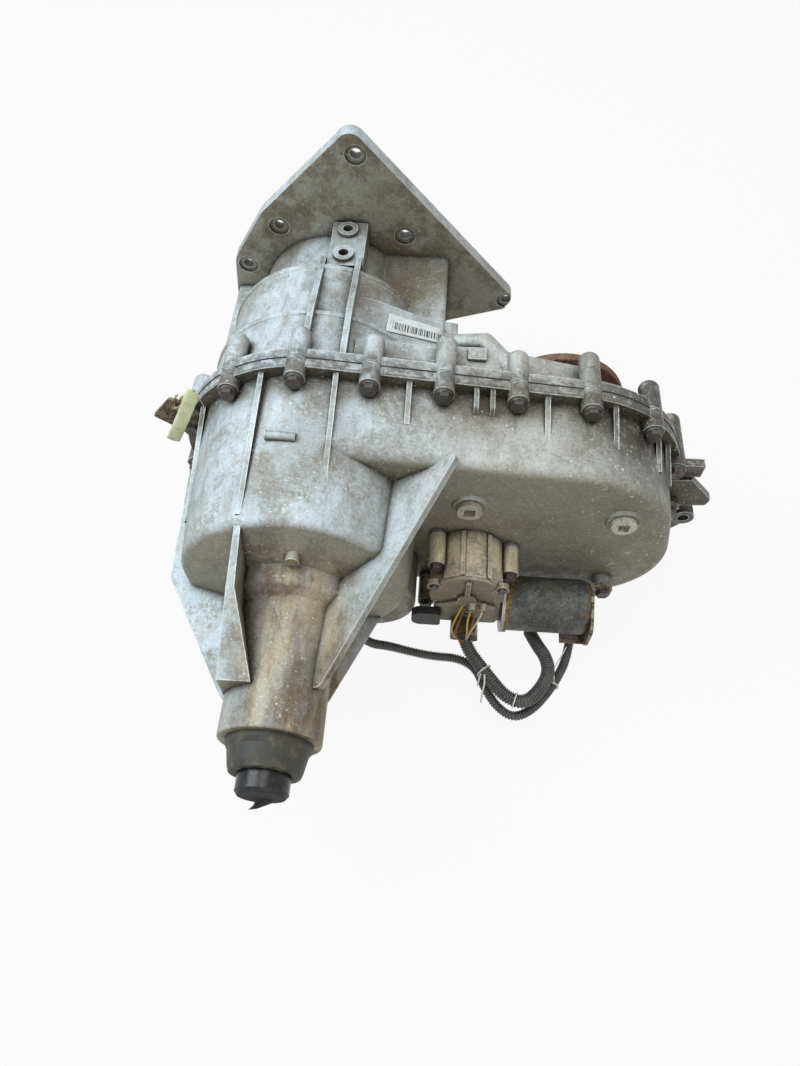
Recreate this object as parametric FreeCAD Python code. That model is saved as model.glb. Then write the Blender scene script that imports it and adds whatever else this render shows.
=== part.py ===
"""Two-speed, chain-driven transfer case with an electric shift motor.

Frame, in millimetres: the origin is the centre of the adapter face, on the axis of the input and
main shaft. X points to the front output, Y forward to the transmission, Z up. The case reaches
from y = 0 back to the rear seal, so stations along the shafts are negative.
"""
import FreeCAD, Part
import os
from math import acos, asin, atan2, cos, degrees, hypot, pi, radians, sin, sqrt, tan

V = FreeCAD.Vector
ALONG = V(0, 1, 0)

# ---- Driving dimensions ---------------------------------------------------------------------

# Chain drive
CHAIN_PITCH = 12.7
SPROCKET_TEETH = 30
CHAIN_LINKS = 68
CHAIN_WIDTH = 25.0
CHAIN_MID = -258.0               # station of the chain's middle plane
OUTPUT_DROP = 10.0               # the front output lies this far below the input axis
CENTRE_DISTANCE = (CHAIN_LINKS - SPROCKET_TEETH) / 2 * CHAIN_PITCH
INPUT = (0.0, 0.0)
OUTPUT = (sqrt(CENTRE_DISTANCE ** 2 - OUTPUT_DROP ** 2), -OUTPUT_DROP)

# Planetary reduction
GEAR_MODULE = 2.5
SUN_TEETH = 36
PLANET_TEETH = 12
RING_TEETH = SUN_TEETH + 2 * PLANET_TEETH
PLANETS = 3
PRESSURE_ANGLE = 25.0
ADDENDUM = 0.8 * GEAR_MODULE     # stub teeth
DEDENDUM = 1.05 * GEAR_MODULE
BACKLASH = 0.35
PLANET_ORBIT = GEAR_MODULE * (SUN_TEETH + PLANET_TEETH) / 2

# Clearances and fits
RUN = 0.05                       # radial clearance of a shaft in its bearing
GAP = 0.3                        # between pieces that pass each other
SLIP = 0.2                       # bolt in its hole, radially

# Castings
WALL = 7.0
FLANGE_THICK = 14.0              # adapter flange
SPLIT = -226.0                   # joint face between the case halves
SEALANT = 0.8
SPLIT_FLANGE = 10.0              # thickness of each half's flange
BOSS_R = 9.5
CAGE_R = 86.0                    # outer radius of the clutch cage, the widest thing in the drum
DRUM_R = CAGE_R + 14.0           # radius of the clutch drum at its rear
CASE_A = DRUM_R + 12.0           # outer radius of the case round the input axis, at the split
CASE_B = 101.0                   # outer radius round the front output, at the split
FOOT = (264.0, -41.0)            # the outline's lower corner at the output end, for the oil
FOOT_LESS = 16.0                 # its radius is this much smaller than the output end's
DRAFT_A = 7.0                    # how much narrower the chain cover is at its rear face
FLANGE_LIP = 10.5                # how far the split flange stands out from the case wall
BOLT_LINE = 6.0                  # how far the bolts stand out from the case wall
POCKET_FRONT = -178.0            # front face of the chain-side pocket, over the shift gear
POCKET_STEP = -200.0             # its front face round the output
COVER_REAR = -310.0              # rear face of the chain cover
DRUM_REAR = COVER_REAR - 69.0    # rear edge of the clutch drum
NOSE_END = -524.0                # rear rim of the tail
NOSE_R = 42.0

# Neck of the front half
BELL_R = 72.0
NECK_R = 80.0
STEP1, STEP1_R = -84.0, 101.0    # where the neck widens to the barrel
STEP2, STEP2_R = -154.0, 108.0
BEAD = 2.0                       # height of the raised bead at each step
BEAD_WIDE = 4.5
SIDE_X = 120.0                   # outer edge of the neck's shelf, on the chain side
SHELF, SHELF_END = 59.0, -116.0  # its height, and where it rises to the roof
SEAT_WALL_R = 54.0               # outside of the wall round the input bearing's seat

# Case bolts and dowels
CASE_BOLTS = 19
FIRST_BOLT = 0.25                # the first bolt's share of a pitch along the outline
BOLT_R = 4.0
BOLT_REACH = 24.0                # how far a bolt reaches into the front half
BOLT_SEAT = SPLIT - SEALANT - SPLIT_FLANGE - 10.0
BOLT_HEAD = 6.5
BOLT_HEX = 12.0
BOLT_COLLAR_R = 8.0
HEAD_ROOM = 24.0                 # length of the flute in the wall behind each head
DOWEL_R = 4.0
DOWEL_DEPTH = 7.0                # in each half
DOWEL_PITCHES = (7, 15)          # bolt pitches that have a dowel at their middle
TAB_BOLT = 2                     # bolt that holds the tag bracket
TAB_THICK = 3.0

# Adapter bolt holes (x, z) and their radius
ADAPTER_HOLES = [(26.0, 172.0), (-57.0, 89.0), (-97.0, 38.0), (73.0, 84.0), (186.0, 5.0), (-62.0, -92.0),
                 (66.0, -94.0)]
ADAPTER_HOLE_R = 5.5
SPOTFACE_R, SPOTFACE = 10.5, 2.5
RELIEF_R, RELIEF = 15.0, 34.0    # room for a socket behind each spotface
ADAPTER_OUTLINE = [(22, 200, 14), (203, -1, 15), (118, -30, 16),
                   (104, -80, 34), (56, -124, 30), (-50, -124, 34),
                   (-98, -80, 34), (-116, -8, 30), (-110, 46, 22), (-74, 104, 30)]

# Mounting pad on the neck, its tapped holes (x, y), and the oil passage cast beside it
PAD_X0, PAD_X1, PAD_Y0, PAD_Y1, PAD_TOP = 1.0, 36.0, -16.0, -80.0, 101.0
PAD_HOLES = [(17.0, -30.0), (16.0, -66.0)]
PAD_HOLE_R = 5.1
PASSAGE = [(122, -164, 84), (158, -166, 90), (180, -200, 94), (184, SPLIT + 4, 94)]
PASSAGE_R = 9.0

# Shafts and bearings: (bore radius, outer radius, width)
INPUT_BEARING = (25.0, 45.0, 20.0)
REAR_BEARING = (20.0, 40.0, 18.0)
OUTPUT_BEARING = (17.5, 36.0, 17.0)
NEEDLE = (14.0, 19.0, 12.0)
INPUT_BEARING_Y = -116.0         # rear face of each bearing
REAR_BEARING_Y = DRUM_REAR - 19.0
OUTPUT_BEARING_Y = -188.0
NEEDLE_Y = COVER_REAR + 5.0
MAIN_R = 21.0
TAIL_SHAFT_R = 17.5
TAIL_SHAFT_END = NOSE_END + 20.0
INPUT_SPLINE_R = 17.5
INPUT_SPLINE = (-52.0, -104.0)   # mouth and end of the splined bore
INPUT_NOSE_R = 27.0              # where the input seal runs
INPUT_HUB_R = 31.0               # behind the input bearing
PILOT_R = 14.0
PILOT_WALL = 6.0
OUTPUT_NOSE_R = 15.0             # seat of the front output's flange
OUTPUT_THREAD_R = 10.0
OUTPUT_SPROCKET_R = 22.0

# Bushing and seal in the tail
BUSH_FRONT, BUSH_REAR = NOSE_END + 42.0, NOSE_END + 22.0
BUSH_R, BUSH_OUT_R = 24.0, 27.0
SEAL_R = 34.0
TAIL_ROOM_R = 32.0               # bore of the tail between its bearing and its bushing

# Planetary stations
RING_FRONT = -128.0
RING_OUT_R = 84.0
SUN_REAR = -156.0
GEAR_WIDTH = 24.0
GEAR_SIDE = 0.5                  # play at each side of a planet gear
DOG_R = 30.0
DOG_DEPTH = 14.0
HUB_TRAVEL = 16.0
HUB_R = 36.0
HUB_GROOVE_R = 28.0
HUB_GROOVE = 10.0                # width of the groove for the fork
PLANET_PIN_R = 5.0
CARRIER_FRONT, CARRIER_REAR = -120.5, -164.0
CARRIER_R = 70.0
CARRIER_POST_R = 7.0

# Four-wheel-drive clutch
CAGE_WALL = 6.0
CLUTCH_HUB_R = CAGE_R - 36.0
CLUTCH_PLATES = 4
PLATE = 2.2
PLATE_GAP = 0.3
CAGE_FRONT = -277.0
CAGE_REAR = -330.0
CAGE_SLOTS = 6
PACK_FRONT = CAGE_FRONT - CAGE_WALL - 4.0    # front face of the first plate
PACK_REAR = PACK_FRONT - CLUTCH_PLATES * 2 * (PLATE + PLATE_GAP)
STEEL_BORE_R = CAGE_R - 30.0
FRICTION_R = CAGE_R - 10.0
COIL_FRONT = -335.0
PUMP_FRONT = -347.0
PUMP_R = 60.0
PICKUP_REACH = CAGE_R + 10.0     # the suction tube runs this far from the axis, outside the cage
PICKUP = (0.686 * PICKUP_REACH, -0.728 * PICKUP_REACH)
PICKUP_R = 5.0
PICKUP_FRONT = -300.0
TONE_TEETH = 24

# Front output
OUTPUT_FLANGE_FACE = -139.0
OUTPUT_FLANGE_R = 66.0
OUTPUT_FLANGE_THICK = 9.0
OUTPUT_PCD = 95.0
OUTPUT_BOLT_R = 5.3
OUTPUT_BOLTS = 4
OUTPUT_SEAL_R = 32.0
OUTPUT_HUB_R = 24.0
NUT_SEAT = OUTPUT_FLANGE_FACE - 6.0

# Chain links
TOE = 6.0                        # how far the plates' toes reach inside the pin line
CROTCH = 1.6                     # and how far the notch between them
LINK_PIN_R = 2.0
CHAIN_TILT = atan2(OUTPUT[1], OUTPUT[0])
SPROCKET_PITCH_R = CHAIN_PITCH / (2 * sin(pi / SPROCKET_TEETH))
SPROCKET_HUB_R = 34.0

# Shift gear
RAIL = (112.0, -30.0)
RAIL_R = 7.0
RAIL_END = COVER_REAR + 7.0
SHIFT = (155.0, -41.0)
SHIFT_R = 8.0
CAM_R = 20.0
CAM_GROOVE = 5.0                 # depth of the helical groove
CAM_PIN_R = 4.0
CAM_TURN = 100.0                 # degrees of shift shaft turn for the whole travel
CAM_SPARE = 18.0                 # degrees of groove beyond each end of the travel
FORK_Y = -195.0                  # middle plane of the fork in high range
FORK_THICK = 9.4
FORK_BOSS = 19.0                 # length of its boss on the rail

# Shift motor
MOTOR_FRONT = COVER_REAR
MOTOR_REAR = COVER_REAR - 48.0
MOTOR_POST = 5.0                 # how far the posts lift the motor off the cover
MOTOR_CASE_R = 35.0
MOTOR_COVER = 6.0
MOTOR_SEATS = {(125.0, -14.0): MOTOR_REAR + 12.0, (194.0, -31.0): MOTOR_REAR + 16.0,
               (117.0, -97.0): MOTOR_REAR + 16.0}     # bolt places and the stations of their heads
MOTOR_POST_R = 8.0
MOTOR_BOLT_R = 3.2
MOTOR_COLLAR_R = 6.8
COVER_EARS = (30, 150, 270)      # angles of the cover's screw ears
EAR_REACH = 36.0
WHEEL_R = 29.0
WHEEL_TEETH = 38
WORM_Y = MOTOR_REAR + 12.0
WORM_DROP = 38.0                 # worm axis below the shift shaft
WORM = (WORM_Y, SHIFT[1] - WORM_DROP)
WORM_BOX = [(SHIFT[0] - 30, SHIFT[1], 0), (SHIFT[0] - 30, WORM[1] - 15, 5), (SHIFT[0] + 32, WORM[1] - 15, 5),
            (SHIFT[0] + 32, SHIFT[1], 0)]
WORM_ROOM_R = 11.0
MOTOR_SHAFT_R = 4.0
CAN_R = 27.0
CAN_WALL = 2.5
CAN_START, CAN_END = 193.0, 275.0
END_BELL = 3.0
STRAP_BOSS = (292.0, -83.0)
STRAP_SEAT = COVER_REAR - 12.0
STRAP_THICK = 3.0
STRAP_BOLT_R = 3.4

# Plugs, sump and sensor
PLUG_PLACES = {"fill_plug": (151.0, 34.0), "drain_plug": (289.0, 24.0)}
PLUG_THREAD_R = 9.0
PLUG_SEAT = COVER_REAR - 3.0
PLUG_SQUARE = 9.7
SUMP = (60.0, -72.0)
SUMP_R = 47.0
SUMP_REAR = MOTOR_REAR - 4.0
SENSOR = (51.0, -87.0)
SENSOR_R = 8.0
SENSOR_END = SUMP_REAR - 14.0

# Tail plug
TAIL_PLUG_R = 21.3
TAIL_PLUG_END = NOSE_END - 42.0

# Lugs on the split flange's outer end, and small castings on the drum
EAR = [(335, -8, 0), (368, -6, 0), (395, -36, 4), (393, -47, 4), (335, -52, 0)]
LUG = (376.0, -66.0)
LUG_R = 11.0
LUG_ARM = [(335, -56, 0), (384, -56, 0), (388, -70, 0), (368, -98, 4), (335, -98, 0)]
NUB = (352.0, -4.0, 23.0, 17.0)  # x, z, width and height
PIP = (7.5, 66.0)                # centre mark behind the drum
PRESSED = [(-24, -299, 106), (2, -301, 107)]

# Harness
CONDUIT_MAIN_R = 6.5
CONDUIT_SENSOR_R = 4.5
CONDUIT_MAIN_ROUTE = [(155, -376, -93), (160, -389, -97), (171, -403, -100), (183, -418, -100),
                      (197, -435, -100), (216, -441, -100), (231, -426, -100), (240, -408, -101),
                      (238, -390, -105), (230, -374, -112), (225, -358, -120)]
CONDUIT_SENSOR_ROUTE = [(51, -376, -87), (55, -385, -94), (66, -389, -102), (83, -387, -109),
                        (102, -389, -114), (127, -393, -114), (152, -393, -114), (170, -402, -114),
                        (178, -420, -114), (190, -440, -114), (207, -451, -114), (225, -441, -115),
                        (240, -423, -115), (251, -405, -116), (260, -386, -117), (264, -366, -118)]


# ---- Shape helpers --------------------------------------------------------------------------

def cyl(r, y0, y1, at=INPUT):
    """Round bar along Y between two stations."""
    low, high = min(y0, y1), max(y0, y1)
    return Part.makeCylinder(r, high - low, V(at[0], low, at[1]), ALONG)


def tube(r_out, r_in, y0, y1, at=INPUT):
    return cyl(r_out, y0, y1, at).cut(cyl(r_in, y0, y1, at))


def bar(r, start, end):
    """Round bar between any two points."""
    a, b = V(*start), V(*end)
    return Part.makeCylinder(r, a.distanceToPoint(b), a, b - a)


def fuse(shapes):
    solid = shapes[0].multiFuse(shapes[1:]) if len(shapes) > 1 else shapes[0]
    return solid.removeSplitter()


def outline(corners, place):
    """Closed wire through corners (u, v, radius); place turns (u, v) into a point."""
    edges, ends = [], []
    count = len(corners)
    for i in range(count):
        u, v, r = corners[i]
        before, after = corners[i - 1], corners[(i + 1) % count]
        if r <= 0:
            ends.append(((u, v), (u, v), None))
            continue
        d0 = hypot(before[0] - u, before[1] - v)
        d1 = hypot(after[0] - u, after[1] - v)
        a = ((before[0] - u) / d0, (before[1] - v) / d0)
        b = ((after[0] - u) / d1, (after[1] - v) / d1)
        half = acos(max(-1.0, min(1.0, a[0] * b[0] + a[1] * b[1]))) / 2
        cut = r / tan(half)
        middle = (a[0] + b[0], a[1] + b[1])
        size = hypot(*middle)
        reach = r / sin(half) - r
        crown = (u + middle[0] / size * reach, v + middle[1] / size * reach)
        ends.append(((u + a[0] * cut, v + a[1] * cut), (u + b[0] * cut, v + b[1] * cut), crown))
    for i in range(count):
        start, end, crown = ends[i]
        if crown:
            edges.append(Part.Arc(place(*start), place(*crown), place(*end)).toShape())
        following = ends[(i + 1) % count][0]
        if hypot(end[0] - following[0], end[1] - following[1]) > 1e-6:
            edges.append(Part.LineSegment(place(*end), place(*following)).toShape())
    return Part.Wire(edges)


def prism(corners, y0, y1):
    """Outline in the XZ plane, extruded along Y."""
    low, high = min(y0, y1), max(y0, y1)
    wire = outline(corners, lambda u, v: V(u, low, v))
    return Part.Face(wire).extrude(V(0, high - low, 0))


def turned(corners, at=INPUT):
    """Profile of (radius, station, corner radius), turned about an axis along Y."""
    wire = outline(corners, lambda u, v: V(at[0] + u, v, at[1]))
    return Part.Face(wire).revolve(V(at[0], 0, at[1]), ALONG, 360)


def sharp(points):
    return [(u, v, 0) for u, v in points]


def radial_web(profile, angle, thick, at=INPUT):
    """Flat web in a plane through the shaft axis; profile is (radius, station, corner radius)."""
    c, s = cos(radians(angle)), sin(radians(angle))
    wire = outline(profile, lambda r, y: V(at[0] + r * c + s * thick / 2, y, at[1] + r * s - c * thick / 2))
    return Part.Face(wire).extrude(V(-s * thick, 0, c * thick))


def upright_web(profile, x, thick):
    """Flat web across X; profile is (station, height, corner radius)."""
    wire = outline(profile, lambda y, z: V(x - thick / 2, y, z))
    return Part.Face(wire).extrude(V(thick, 0, 0))


def lobe_wire(r_a, r_b, y):
    """Case outline: arcs round the input axis, the lower corner and the output, joined by tangents."""
    rounds = [(INPUT, r_a), (FOOT, r_b - FOOT_LESS), (OUTPUT, r_b)]
    normals = []
    for i, (start, r0) in enumerate(rounds):
        end, r1 = rounds[(i + 1) % 3]
        run = (end[0] - start[0], end[1] - start[1])
        normals.append(atan2(run[1], run[0]) - acos((r0 - r1) / hypot(*run)))

    def on(i, angle):
        centre, r = rounds[i % 3]
        return V(centre[0] + r * cos(angle), y, centre[1] + r * sin(angle))

    edges = []
    for i in range(3):
        before, after = normals[i - 1], normals[i]
        while after < before:
            after += 2 * pi
        edges.append(Part.Arc(on(i, before), on(i, (before + after) / 2), on(i, after)).toShape())
        edges.append(Part.LineSegment(on(i, after), on(i + 1, after)).toShape())
    return Part.Wire(edges)


def lobe(r_a, r_b, y0, y1):
    low, high = min(y0, y1), max(y0, y1)
    return Part.Face(lobe_wire(r_a, r_b, low)).extrude(V(0, high - low, 0))


def drafted_lobe(r_a, r_b, y0, shrink, y1):
    return Part.makeLoft([lobe_wire(r_a, r_b, y0),
                          lobe_wire(r_a - shrink, r_b - shrink * 0.6, y1)], True, True)


def rounded_end(solid, y, r):
    """Round the edges of the end face that lies at station y."""
    edges = [e for e in solid.Edges if all(abs(v.Point.y - y) < 1e-4 for v in e.Vertexes)]
    return solid.makeFillet(r, edges)


def along_bolt_line(count, r_a, r_b, start):
    """Evenly spaced places on the lobe outline; start is the first one's share of a pitch."""
    wire = lobe_wire(r_a, r_b, 0)
    total = wire.Length
    places = []
    for i in range(count):
        s = (i + start) / count * total
        for edge in wire.Edges:
            if s <= edge.Length:
                p = edge.valueAt(edge.getParameterByLength(s))
                places.append((p.x, p.z))
                break
            s -= edge.Length
    return places


BOLT_PLACES = along_bolt_line(CASE_BOLTS, CASE_A + BOLT_LINE, CASE_B + BOLT_LINE, FIRST_BOLT)
DOWEL_PLACES = [((BOLT_PLACES[i][0] + BOLT_PLACES[i + 1][0]) / 2,
                 (BOLT_PLACES[i][1] + BOLT_PLACES[i + 1][1]) / 2)
                for i in DOWEL_PITCHES]


def gear_outline(teeth, tip, root, thicker=0.0, turn=0.0):
    """Spur gear outline with involute flanks. thicker widens each tooth at the pitch circle."""
    pitch_r = GEAR_MODULE * teeth / 2
    base_r = pitch_r * cos(radians(PRESSURE_ANGLE))
    thickness = pi * GEAR_MODULE / 2 + thicker

    def involute(angle):
        return tan(angle) - angle

    def half_angle(r):
        inside = max(r, base_r)
        flank = involute(radians(PRESSURE_ANGLE)) - involute(acos(base_r / inside))
        return thickness / (2 * pitch_r) + flank

    low, mid = pitch_r - root, pitch_r
    high = pitch_r + tip
    flank = [low, max(base_r, (low + mid) / 2), mid, (mid + high) / 2, high]
    points = []
    for i in range(teeth):
        centre = 2 * pi * i / teeth + radians(turn)
        for r in flank:
            points.append((r, centre - half_angle(r)))
        for r in reversed(flank):
            points.append((r, centre + half_angle(r)))
    return [(r * cos(a), r * sin(a)) for r, a in points]


def polygon_prism(points, y0, y1, at=INPUT):
    low, high = min(y0, y1), max(y0, y1)
    ring = [V(at[0] + u, low, at[1] + v) for u, v in points]
    return Part.Face(Part.makePolygon(ring + ring[:1])).extrude(V(0, high - low, 0))


def prism_between(a, b, width, y0, y1):
    """Flat arm of the given width from one place to another."""
    dx, dz = b[0] - a[0], b[1] - a[1]
    size = hypot(dx, dz)
    nx, nz = -dz / size * width / 2, dx / size * width / 2
    return prism(sharp([(a[0] + nx, a[1] + nz), (b[0] + nx, b[1] + nz), (b[0] - nx, b[1] - nz),
                        (a[0] - nx, a[1] - nz)]), y0, y1)


def hexagon(across_flats, y0, y1, at=INPUT):
    r = across_flats / sqrt(3)
    return polygon_prism([(r * cos(radians(60 * i)), r * sin(radians(60 * i))) for i in range(6)], y0, y1, at)


def ball_bearing(size, rear, at=INPUT, balls=9):
    """Inner ring, outer ring and balls, as separate solids; rear is the station of the rear face."""
    bore, outer, width = size
    bore += RUN
    ball_r = (outer - bore) * 0.27
    middle_r = (outer + bore) / 2
    middle_y = rear + width / 2
    groove = Part.makeTorus(middle_r, ball_r + 0.02, V(at[0], middle_y, at[1]), ALONG)
    ring = (outer - bore) * 0.33
    inner = tube(bore + ring, bore, rear, rear + width, at).cut(groove)
    race = tube(outer, outer - ring, rear, rear + width, at).cut(groove)
    solids = [inner, race]
    for i in range(balls):
        angle = 2 * pi * i / balls
        centre = V(at[0] + middle_r * cos(angle), middle_y, at[1] + middle_r * sin(angle))
        solids.append(Part.makeSphere(ball_r, centre))
    return Part.makeCompound(solids)


def cord_tube(name, route, r):
    """Straight runs joined by tangent arcs, each as large as its two runs allow."""
    points = [V(*p) for p in route]
    edges, cursor, radii = [], points[0], []
    for i in range(1, len(points) - 1):
        back, forward = points[i - 1] - points[i], points[i + 1] - points[i]
        run = min(back.Length, forward.Length)
        turn = pi - back.getAngle(forward)
        radius = 0.45 * run / tan(turn / 2)
        radii.append(round(radius, 1))
        a = points[i] + V(back).normalize() * (0.45 * run)
        b = points[i] + V(forward).normalize() * (0.45 * run)
        bisector = (V(back).normalize() + V(forward).normalize()).normalize()
        crown = points[i] + bisector * (radius / cos(turn / 2) - radius)
        edges.append(Part.LineSegment(cursor, a).toShape())
        edges.append(Part.Arc(a, crown, b).toShape())
        cursor = b
    edges.append(Part.LineSegment(cursor, points[-1]).toShape())
    path = Part.Wire(edges)
    start = points[1] - points[0]
    section = Part.Wire(Part.makeCircle(r, points[0], start))
    solid = path.makePipeShell([section], True, False)
    share = solid.Volume / (pi * r * r * path.Length)
    print(name, "length", round(path.Length, 1), "volume share", round(share, 4), "radii", radii)
    return solid


def keep(name, shape):
    """Writes one node; every solid in it has to be valid."""
    for solid in shape.Solids:
        if not solid.isValid():
            print("invalid solid in", name)
    shape.exportStep("parts/" + name + ".step")


# ---- Front half of the case -----------------------------------------------------------------

def neck_barrel():
    """Neck and barrel, with a raised bead where each step begins."""
    profile = [(0, 0, 0), (NECK_R, 0, 0), (NECK_R, STEP1 + 14, 10)]
    for y, r in ((STEP1, STEP1_R), (STEP2, STEP2_R)):
        profile += [(r + BEAD, y, 1.5), (r + BEAD, y - BEAD_WIDE, 1), (r, y - BEAD_WIDE - BEAD, 0)]
        if y == STEP1:
            profile.append((r, STEP2, 0))
    return turned(profile + [(CASE_A, SPLIT, 0), (0, SPLIT, 0)])


def side_bulges():
    """The neck is widened on the chain side by a shelf that rises to a roof, on the other by a fin."""
    shelf = prism([(30, 70, 0), (52, SHELF, 8), (SIDE_X, SHELF, 5), (SIDE_X, -30, 8), (30, -80, 0)], -4,
                  SHELF_END)
    roof = prism([(30, 96, 0), (56, 88, 8), (SIDE_X, SHELF + 2, 5), (SIDE_X, -30, 8), (30, -80, 0)],
                 SHELF_END, POCKET_FRONT)
    left = prism([(-60, 12, 0), (-112, 8, 3), (-112, -2, 3), (-60, -8, 0)], -4, SPLIT + 4)
    lower_web = radial_web([(60, -4, 0), (104, -4, 6), (110, POCKET_FRONT, 0), (60, POCKET_FRONT, 0)], -50, 8)
    corner_web = prism([(110, SHELF - 2, 0), (SIDE_X + 13, SHELF - 6, 2), (SIDE_X + 13, -6, 0), (110, -6, 0)],
                       SHELF_END + 12, POCKET_FRONT)
    return [shelf, roof, left, lower_web, corner_web]


def top_pad():
    """Mounting pad with two tapped bosses, and the two ribs that run back from it."""
    pad = Part.makeBox(PAD_X1 - PAD_X0, PAD_Y0 - PAD_Y1, 32, V(PAD_X0, PAD_Y1, PAD_TOP - 34))
    shapes = [pad]
    for x, y in PAD_HOLES:
        shapes.append(Part.makeCylinder(10, 34, V(x, y, PAD_TOP - 32)))
    for x in (PAD_X0 - 4, PAD_X1 - 4):
        rib = [(PAD_Y1 + 12, 70, 0), (PAD_Y1 + 12, PAD_TOP - 1, 3), (STEP2, STEP2_R + 7, 4),
               (SPLIT + SPLIT_FLANGE, CASE_A + 5, 0), (SPLIT + SPLIT_FLANGE, 70, 0)]
        shapes.append(upright_web(rib, x, 5.5))
    return shapes


def front_pocket():
    """Chain pocket, low round the output, with a block over the shift gear that falls to the right."""
    low = rounded_end(drafted_lobe(CASE_A, CASE_B, SPLIT, 2, POCKET_STEP), POCKET_STEP, 5)
    block = prism([(40, 104, 0), (170, 98, 12), (OUTPUT[0] + 15, 80, 3), (OUTPUT[0] + 15, -80, 20),
                   (60, -88, 0)],
                  SPLIT, POCKET_FRONT)
    return [low, rounded_end(block, POCKET_FRONT, 6)]


def front_bosses():
    """Long domed bosses that carry the bolt threads."""
    shapes = []
    for i, place in enumerate(BOLT_PLACES):
        end = SPLIT + (36 if i % 2 else 28)
        shapes.append(turned([(0, SPLIT, 0), (BOSS_R, SPLIT, 0), (BOSS_R, end + 8, 7), (0, end + 8, 0)],
                             place))
    return shapes


def oil_passage():
    """Pipe cast on the outside, from the roof over the pocket to the split flange."""
    shapes = []
    for start, end in zip(PASSAGE, PASSAGE[1:]):
        shapes += [bar(PASSAGE_R, start, end), Part.makeSphere(PASSAGE_R, V(*end))]
    x, y, z = PASSAGE[1]
    return shapes + [Part.makeBox(16, 14, 14, V(x - 16, y - 32, z - 2))]


def front_case():
    adapter = prism(ADAPTER_OUTLINE, -FLANGE_THICK, 0)
    body = [adapter, neck_barrel()] + front_pocket() + side_bulges() + top_pad() + front_bosses() + oil_passage()
    body.append(lobe(CASE_A + FLANGE_LIP, CASE_B + FLANGE_LIP, SPLIT, SPLIT + SPLIT_FLANGE))
    body.append(turned([(0, POCKET_STEP - 6, 0), (56, POCKET_STEP - 6, 0), (49, -160, 4), (0, -160, 0)],
                       OUTPUT))
    body.append(cyl(13, POCKET_FRONT - 4, POCKET_FRONT + 4, RAIL))
    body.append(cyl(15, POCKET_FRONT - 4, POCKET_FRONT + 4, SHIFT))
    behind = Part.makeBox(900, 100, 900, V(-400, SPLIT - 100, -450))
    solid = fuse(body).cut(behind)
    seal_y = INPUT_BEARING_Y + INPUT_BEARING[2] + 2
    pit = seal_y - 10
    hollow = turned(sharp([(0, 1), (BELL_R, 1), (BELL_R, STEP1 + 16), (STEP1_R - 10, STEP1 - 4),
                           (STEP1_R - 10, pit), (SEAT_WALL_R, pit), (SEAT_WALL_R - 2, seal_y + 12),
                           (36, seal_y + 12), (36, seal_y), (31, seal_y), (31, seal_y - 2),
                           (INPUT_BEARING[1], seal_y - 2), (INPUT_BEARING[1], INPUT_BEARING_Y - 2),
                           (RING_OUT_R, INPUT_BEARING_Y - 2), (RING_OUT_R, SUN_REAR + 4),
                           (STEP2_R - 9, SUN_REAR - 2), (STEP2_R - 9, SPLIT - 1), (0, SPLIT - 1)]))
    pocket = lobe(CASE_A - 14, CASE_B - 11, SPLIT - 1, POCKET_STEP - WALL)
    shift_room = prism([(60, 84, 0), (164, 80, 6), (190, 66, 6), (190, -60, 6), (60, -76, 0)],
                       SPLIT - 1, POCKET_FRONT - WALL)
    bearing_front = OUTPUT_BEARING_Y + OUTPUT_BEARING[2]
    cuts = [hollow, pocket, shift_room]
    cuts.append(cyl(OUTPUT_BEARING[1], POCKET_STEP - 12, bearing_front, OUTPUT))
    cuts.append(cyl(OUTPUT_SEAL_R, bearing_front, -150, OUTPUT))
    cuts.append(cyl(RAIL_R, POCKET_FRONT - 12, POCKET_FRONT, RAIL))
    cuts.append(cyl(SHIFT_R + RUN, POCKET_FRONT - 12, POCKET_FRONT, SHIFT))
    for place in ADAPTER_HOLES:
        cuts.append(cyl(ADAPTER_HOLE_R, -FLANGE_THICK - 1, 1, place))
        cuts.append(cyl(SPOTFACE_R, -FLANGE_THICK + SPOTFACE, -FLANGE_THICK - 1, place))
        cuts.append(cyl(RELIEF_R, -FLANGE_THICK, -FLANGE_THICK - RELIEF, place))
    for place in BOLT_PLACES:
        cuts.append(cyl(BOLT_R, SPLIT - 1, SPLIT + BOLT_REACH + 2, place))
    for x, y in PAD_HOLES:
        cuts.append(Part.makeCylinder(PAD_HOLE_R, 24, V(x, y, PAD_TOP - 20)))
    for place in DOWEL_PLACES:
        cuts.append(cyl(DOWEL_R, SPLIT - 1, SPLIT + DOWEL_DEPTH + 1, place))
    for cut in cuts:
        solid = solid.cut(cut)
    return solid


# ---- Rear half of the case ------------------------------------------------------------------

def drum_body():
    """Drum that closes in a cone to the tail's collar and nose."""
    return turned([(0, SPLIT, 0), (CASE_A, SPLIT, 0), (DRUM_R, DRUM_REAR, 9), (58, DRUM_REAR - 14, 0),
                   (56, DRUM_REAR - 29, 4), (46, DRUM_REAR - 37, 4), (NOSE_R, DRUM_REAR - 88, 12),
                   (NOSE_R, NOSE_END, 1.5), (0, NOSE_END, 0)])


def chain_cover_body():
    flange_back = SPLIT - SEALANT
    return rounded_end(drafted_lobe(CASE_A, CASE_B, flange_back, DRAFT_A, COVER_REAR), COVER_REAR, 12)


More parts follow.
